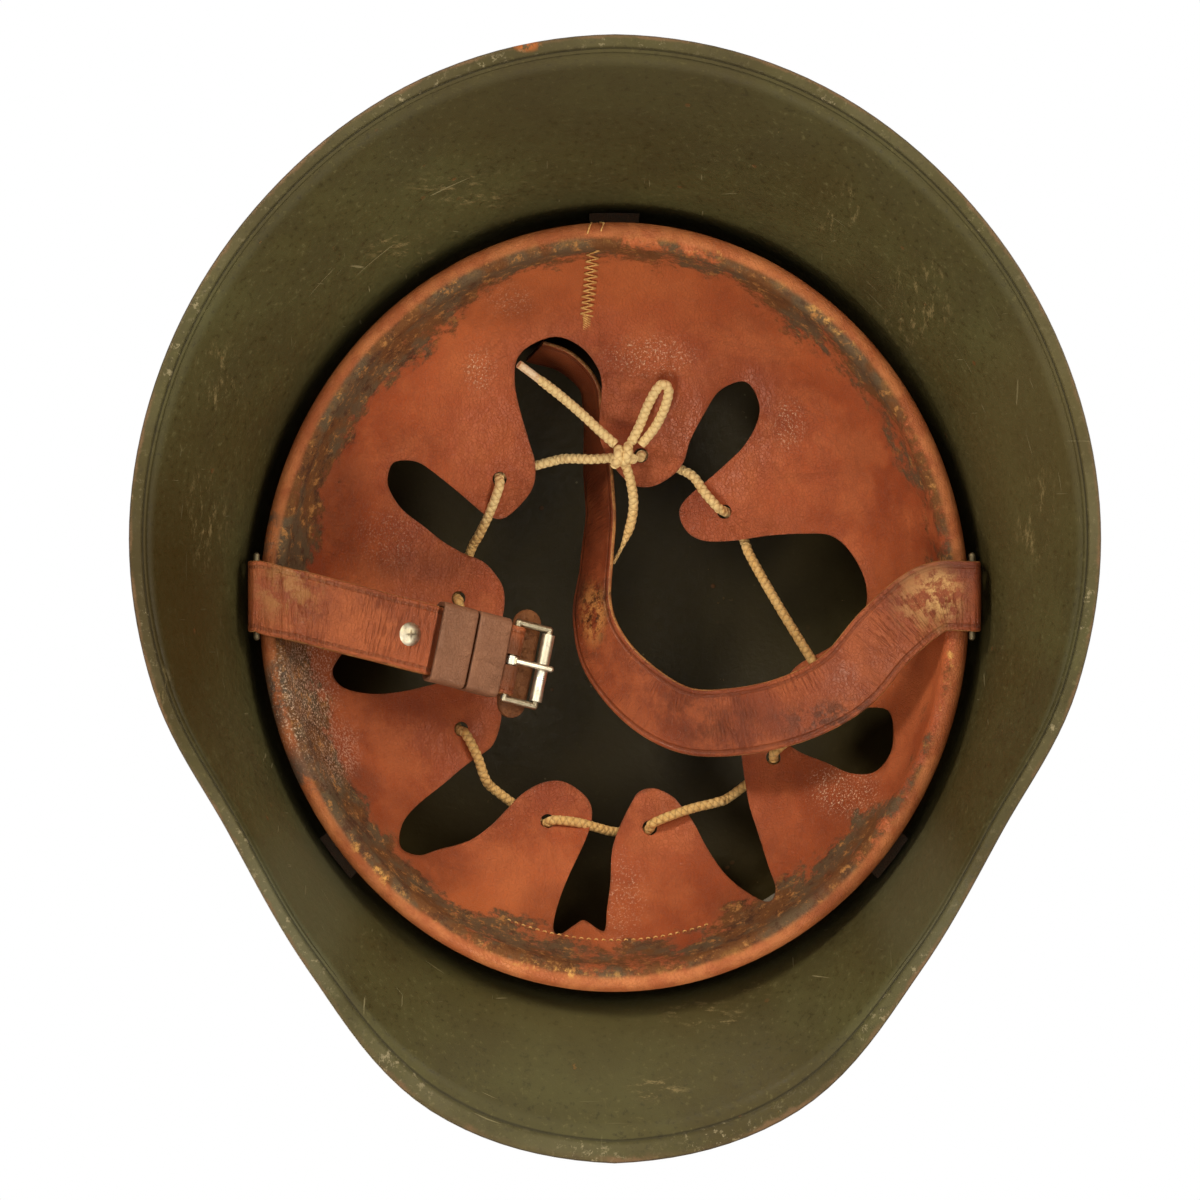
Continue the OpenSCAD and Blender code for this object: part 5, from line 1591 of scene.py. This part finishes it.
def tail_frames(steps):
    """A frame at each point of the tail strap's line, rolled as the strap twists."""
    line = smooth_line(TAIL, steps)
    frames = []
    for i, p in enumerate(line):
        s = i / steps
        t = (line[min(len(line) - 1, i + 1)] - line[max(0, i - 1)]).normalized()
        flat = Vector((0, -1, 0)) if s < 0.8 else t.cross(Vector((0, 0, 1))).normalized()
        flat = (flat - t * flat.dot(t)).normalized()
        face = flat.cross(t).normalized()
        roll = radians(station(TAIL_ROLL, s) + 5 * noise.noise(Vector((s * 0.9, 4, 0))))
        across = cos(roll) * flat + sin(roll) * face
        frames.append((p * MM, across, across.cross(t).normalized()))
    return frames


print("the strap turns by up to", max(TAIL_ROLL), "degrees")

# %% [markdown]
# The strap's end lies behind it, goes round the loop's bar and comes out in
# front. So the sweep starts on the back layer, makes the eye, and then follows
# the line, where the two layers' thickness fades out after the end.

# %% Sweep the tail strap
LAYER = 0.75 * MM
EYE_FRAMES, END_FRAMES = 4, 18
middle = tail_frames(8)
frames = [(p + out * LAYER, across, -out) for p, across, out in reversed(middle[EYE_FRAMES:END_FRAMES])]
for t in range(90, 271, 30):
    turn_out = Vector((-cos(radians(t)), 0, -sin(radians(t))))
    frames.append((Vector((-BAR_X, LOOP_Y, BAR_Z)) * MM - turn_out * EYE_R * MM, BAR_WAY, turn_out))
for i, (p, across, out) in enumerate(middle):
    if i >= EYE_FRAMES:
        frames.append((p - out * LAYER * (1 - blend01((i - 14) / 10)), across, out))
widths = [STRAP_W - 0.2 + 0.5 * noise.noise(Vector((i * 0.1, 0, 7))) for i in range(len(frames))]
tail_bm = sweep(frames, [strap_section(w * MM, LEATHER_STRIP_T * MM, 0.1 * MM) for w in widths])
print("tail strap is", round(line_length([p for p, _, _ in frames]) / MM), "mm long")

# %% [markdown]
# The tail strap has pressed lines without stitches. It is darker along one edge, and rubbed to the pale middle of the
# hide where it bends.

# %% Tail strap piece
tail_leather = stitched_hide("tail_hide", srgb(180, 98, 62), srgb(152, 76, 48), srgb(110, 52, 34), stitched=0.0)
ragged_patch(tail_leather, -89, 2, 13, 13, srgb(198, 150, 102), 0.7, 210, 0.42, 0.58)
ragged_patch(tail_leather, -92, 4, 7, 8, srgb(222, 180, 124), 0.7, 420, 0.46, 0.58)
ragged_patch(tail_leather, -66, -32, 26, 8, srgb(52, 32, 24), 0.7)
ragged_patch(tail_leather, -27, -32, 20, 10, srgb(88, 40, 20), 0.65, 50, 0.4, 0.52)
ragged_patch(tail_leather, 6.5, -2, 8, 17, srgb(60, 44, 36), 0.85, 90, 0.46, 0.56)
ragged_patch(tail_leather, 6, -2, 5, 12, srgb(206, 142, 86), 0.95, 240, 0.42, 0.54)
ragged_patch(tail_leather, 6, -1, 6, 14, srgb(74, 42, 26), 0.9, 330, 0.55, 0.62)
finish_hide(tail_leather)
piece("tail_strap_leather", tail_bm, tail_leather, "tail_strap", ("strap_right",), sharp_deg=50)

# %% [markdown]
# ## Metal and felt
# The hard pieces keep the shapes of the packed model and only get a finish.
# Nickel plate is warm and slightly dull, with tarnish in its low places. The
# loops and lugs are bare steel gone brown, and the band is dull light alloy.

# %% Metal finishes
def metal_finish(name, bright, dull, stain, roughness, stained=0.5):
    f = Finish(name, metallic=1.0)
    here = f.place()
    film = f.noise(here, 130, 6, 0.7)
    spots = f.noise(here, 700, 5, 0.75)
    brushed = f.noise(f.place(scale=(120, 2600, 120), turn=(0, 0, radians(13))), 1.0, 3, 0.6)
    colour = f.blend(f.fade(film, 0.35, 0.65), bright, dull)
    colour = f.blend(f.times(f.fade(spots, 0.54, 0.66), stained), colour, stain)
    rough = f.fade(film, 0.3, 0.7, roughness - 0.06, roughness + 0.14)
    rough = f.plus(rough, f.times(f.fade(brushed, 0.4, 0.6), 0.08))
    f.set(Base_Color=colour, Roughness=rough, Normal=f.bump(f.plus(spots, f.times(brushed, 0.4)), 0.00012, 0.6))
    f.colour = colour
    return f


nickel = metal_finish("nickel", srgb(232, 228, 214), srgb(196, 188, 166), srgb(120, 100, 72), 0.3, 0.4)
loop_steel = metal_finish("loop_steel", srgb(128, 116, 92), srgb(92, 80, 60), srgb(70, 46, 28), 0.5, 0.8)
band_metal = metal_finish("band_metal", srgb(196, 196, 192), srgb(158, 158, 154), srgb(110, 106, 98), 0.45, 0.5)
frame_steel = metal_finish("frame_steel", srgb(186, 176, 152), srgb(128, 116, 94), srgb(72, 58, 42), 0.36, 0.5)
print("metals: nickel, loop_steel, band_metal, frame_steel")

# %% [markdown]
# The strap rivet's head has a cross punched in it, which spreads the rivet. Two
# narrow dark ovals at the head's place make it.

# %% Punched rivet head and the hard pieces
def dress(finish, *nodes):
    """Gives plain solids of the packed model this finish."""
    for name in nodes:
        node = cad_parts[name]
        for s in node.material_slots:
            s.material = finish.material
        if not node.material_slots:
            node.data.materials.append(finish.material)


punched = metal_finish("rivet_nickel", srgb(222, 214, 194), srgb(184, 172, 146), srgb(112, 92, 66), 0.32, 0.5)
HEAD = on_strap(RIVET_U, 0, -3) / MM
arms = punched.most(punched.spot(HEAD.x, HEAD.y, 2.0, 0.5), punched.spot(HEAD.x, HEAD.y, 0.55, 1.9))
punched.set(Base_Color=punched.blend(punched.times(arms, 0.75), punched.colour, srgb(74, 58, 42)))
dress(punched, "strap_rivet")
dress(nickel, "buckle_roller", "buckle_prong")
dress(frame_steel, "buckle_frame")
dress(loop_steel, "lug_left", "lug_right", "loop_left", "loop_right")
dress(band_metal, "liner_band", "washer_left", "washer_right", "washer_rear")
dress(fitting_paint, "vent_bush_left", "vent_bush_right", "liner_rivet_left", "liner_rivet_right", "liner_rivet_rear")
print("dressed the hard pieces")

# %% [markdown]
# Behind the leather a strip of grey felt softens the band. It is the leather's
# own line, moved back, spun once round. Its fibres are noise with a soft sheen.

# %% Felt
FELT_FRONT, FELT_BACK, FELT_FROM, FELT_TO = 0.12, 2.0, 0.92, 0.993
felt = Finish("felt", roughness=0.95, specular=0.15)
fibres = felt.noise(felt.place(), 900, 6, 0.8)
lumps = felt.noise(felt.place(), 60, 4, 0.6)
felt.set(Base_Color=felt.blend(felt.fade(lumps, 0.35, 0.65), srgb(120, 114, 104), srgb(92, 86, 78)),
         Normal=felt.bump(felt.plus(fibres, lumps), 0.0006, 0.9))
felt.set(Sheen_Weight=0.4)
front, back = leather_line(LEATHER_T + FELT_FRONT), leather_line(LEATHER_T + FELT_BACK)
picks = [i for i, p in enumerate(SHARES) if FELT_FROM <= p <= FELT_TO]
felt_bm = spun([back[i] for i in picks] + [front[i] for i in reversed(picks)], 180)
piece("felt_strip", felt_bm, felt, "helmet", ("liner_felt",), sharp_deg=50)

# %% [markdown]
# The spacers keep their solids' shape. A CAD mesh is loose triangles, so a copy
# is merged and its flat faces are joined before its edges can be rounded.

# %% Leather spacers
SPACER_ROUND = 0.25
for side in ("left", "right", "rear"):
    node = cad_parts["pad_" + side]
    pad_bm = bmesh.new()
    pad_bm.from_mesh(node.data)
    bmesh.ops.remove_doubles(pad_bm, verts=pad_bm.verts, dist=1e-6)
    bmesh.ops.dissolve_limit(pad_bm, angle_limit=radians(3), verts=pad_bm.verts, edges=pad_bm.edges)
    rims = [e for e in pad_bm.edges if len(e.link_faces) == 2 and e.calc_face_angle() > radians(50)]
    bmesh.ops.bevel(pad_bm, geom=rims, offset=SPACER_ROUND * MM, segments=2, profile=0.5, affect="EDGES", material=-1)
    piece("spacer_" + side, pad_bm, pad_hide, "helmet", ("pad_" + side,), sharp_deg=40)

# %% [markdown]
# ## Floor and light
# The helmet stands on its rim on a pale floor, and the photograph looks up at
# it, so the floor must not hide it. The floor's material shows only from above
# and lets all other rays through. Away from the helmet it turns into plain
# white, so that no horizon shows.

# %% Floor
FLOOR_HALF, FLOOR_DOWN = 12, 0.0005
floor_bm = bmesh.new()
bmesh.ops.create_grid(floor_bm, x_segments=1, y_segments=1, size=FLOOR_HALF)
bmesh.ops.translate(floor_bm, vec=(0, 0, -FLOOR_DOWN), verts=floor_bm.verts)
floor_mesh = bpy.data.meshes.new("floor")
floor_bm.to_mesh(floor_mesh)
floor_bm.free()
floor = bpy.data.objects.new("floor", floor_mesh)
bpy.context.scene.collection.objects.link(floor)
pale = Finish("floor_pale", roughness=0.9, specular=0.2)
pale.set(Base_Color=(0.86, 0.9, 0.96, 1))
far = pale.put("ShaderNodeVectorMath", Vector=pale.place())
far.operation = "LENGTH"


def mixed(share, a, b):
    """Two shaders mixed by a share."""
    node = pale.tree.nodes.new("ShaderNodeMixShader")
    for socket, value in zip(node.inputs, (share, a, b)):
        pale.plug(socket, value)
    return node.outputs[0]


paper = pale.put("ShaderNodeEmission", Strength=1.0).outputs[0]
sheet = mixed(pale.fade(far.outputs["Value"], 0.2, 1.1, 0.3, 1.0), pale.shader.outputs[0], paper)
from_behind = pale.put("ShaderNodeNewGeometry").outputs["Backfacing"]
seen = pale.times(pale.put("ShaderNodeLightPath").outputs["Is Camera Ray"], pale.minus(1.0, from_behind))
surface = mixed(seen, pale.put("ShaderNodeBsdfTransparent").outputs[0], sheet)
pale.plug(pale.tree.nodes["Material Output"].inputs["Surface"], surface)
floor_mesh.materials.append(pale.material)
print("floor set")

# %% [markdown]
# The world is plain white to the camera and in reflections, and a weak warm
# light to everything else, so the pale background adds no light of its own to
# the object.

# %% World
WARM = (1, 0.89, 0.66)
WORLD_LIGHT = 0.3
world = bpy.data.worlds.new("studio")
bpy.context.scene.world = world
world.use_nodes = True
rays = Nodes(world.node_tree)
path = rays.put("ShaderNodeLightPath").outputs
pale_rays = rays.most(rays.most(path["Is Camera Ray"], path["Is Glossy Ray"]), path["Is Transmission Ray"])
background = world.node_tree.nodes["Background"]
rays.plug(background.inputs["Color"], rays.blend(pale_rays, (*WARM, 1), (1, 1, 1, 1)))
rays.plug(background.inputs["Strength"], rays.calc("MULTIPLY_ADD", pale_rays, 1 - WORLD_LIGHT, WORLD_LIGHT))
print("world light outside pale rays:", WORLD_LIGHT)

# %% [markdown]
# Five soft, warm lamps stand below. Four are far out at the sides, so they light
# the liner and leave the dome behind it dark as in the photograph, and a weak
# one beside the lens makes the metal glint. Two above serve the views of the
# dome.

# %% Lamps
AIM_BELOW, AIM_ABOVE = (0, 0, 0.06), (0, 0, 0.08)
# Each row is name, place, aim, width and power in watts
LAMPS = [("key_below", (0.75, 0.85, -0.95), AIM_BELOW, 0.4, 11.5),
         ("side_below", (-0.95, 0.5, -0.95), AIM_BELOW, 0.7, 8.8),
         ("front_below", (0.6, -0.95, -0.95), AIM_BELOW, 0.5, 7.5),
         ("low_below", (-0.65, -0.9, -0.9), AIM_BELOW, 0.9, 5),
         ("lens_below", (0.22, 0.2, -1.5), AIM_BELOW, 0.3, 2),
         ("key_above", (0.9, -1.1, 1.5), AIM_ABOVE, 0.7, 14),
         ("fill_above", (-1.3, 0.6, 1.0), AIM_ABOVE, 1.2, 6)]


def lamp(name, place, aim, size, watts):
    data = bpy.data.lights.new(name, "AREA")
    data.shape, data.size, data.energy, data.color = "DISK", size, watts, WARM
    obj = bpy.data.objects.new(name, data)
    obj.location = place
    obj.rotation_euler = (Vector(aim) - Vector(place)).to_track_quat("-Z", "Y").to_euler()
    bpy.context.scene.collection.objects.link(obj)


for row in LAMPS:
    lamp(*row)
bpy.context.scene.view_settings.view_transform = "Standard"

# %% [markdown]
# ## Finish
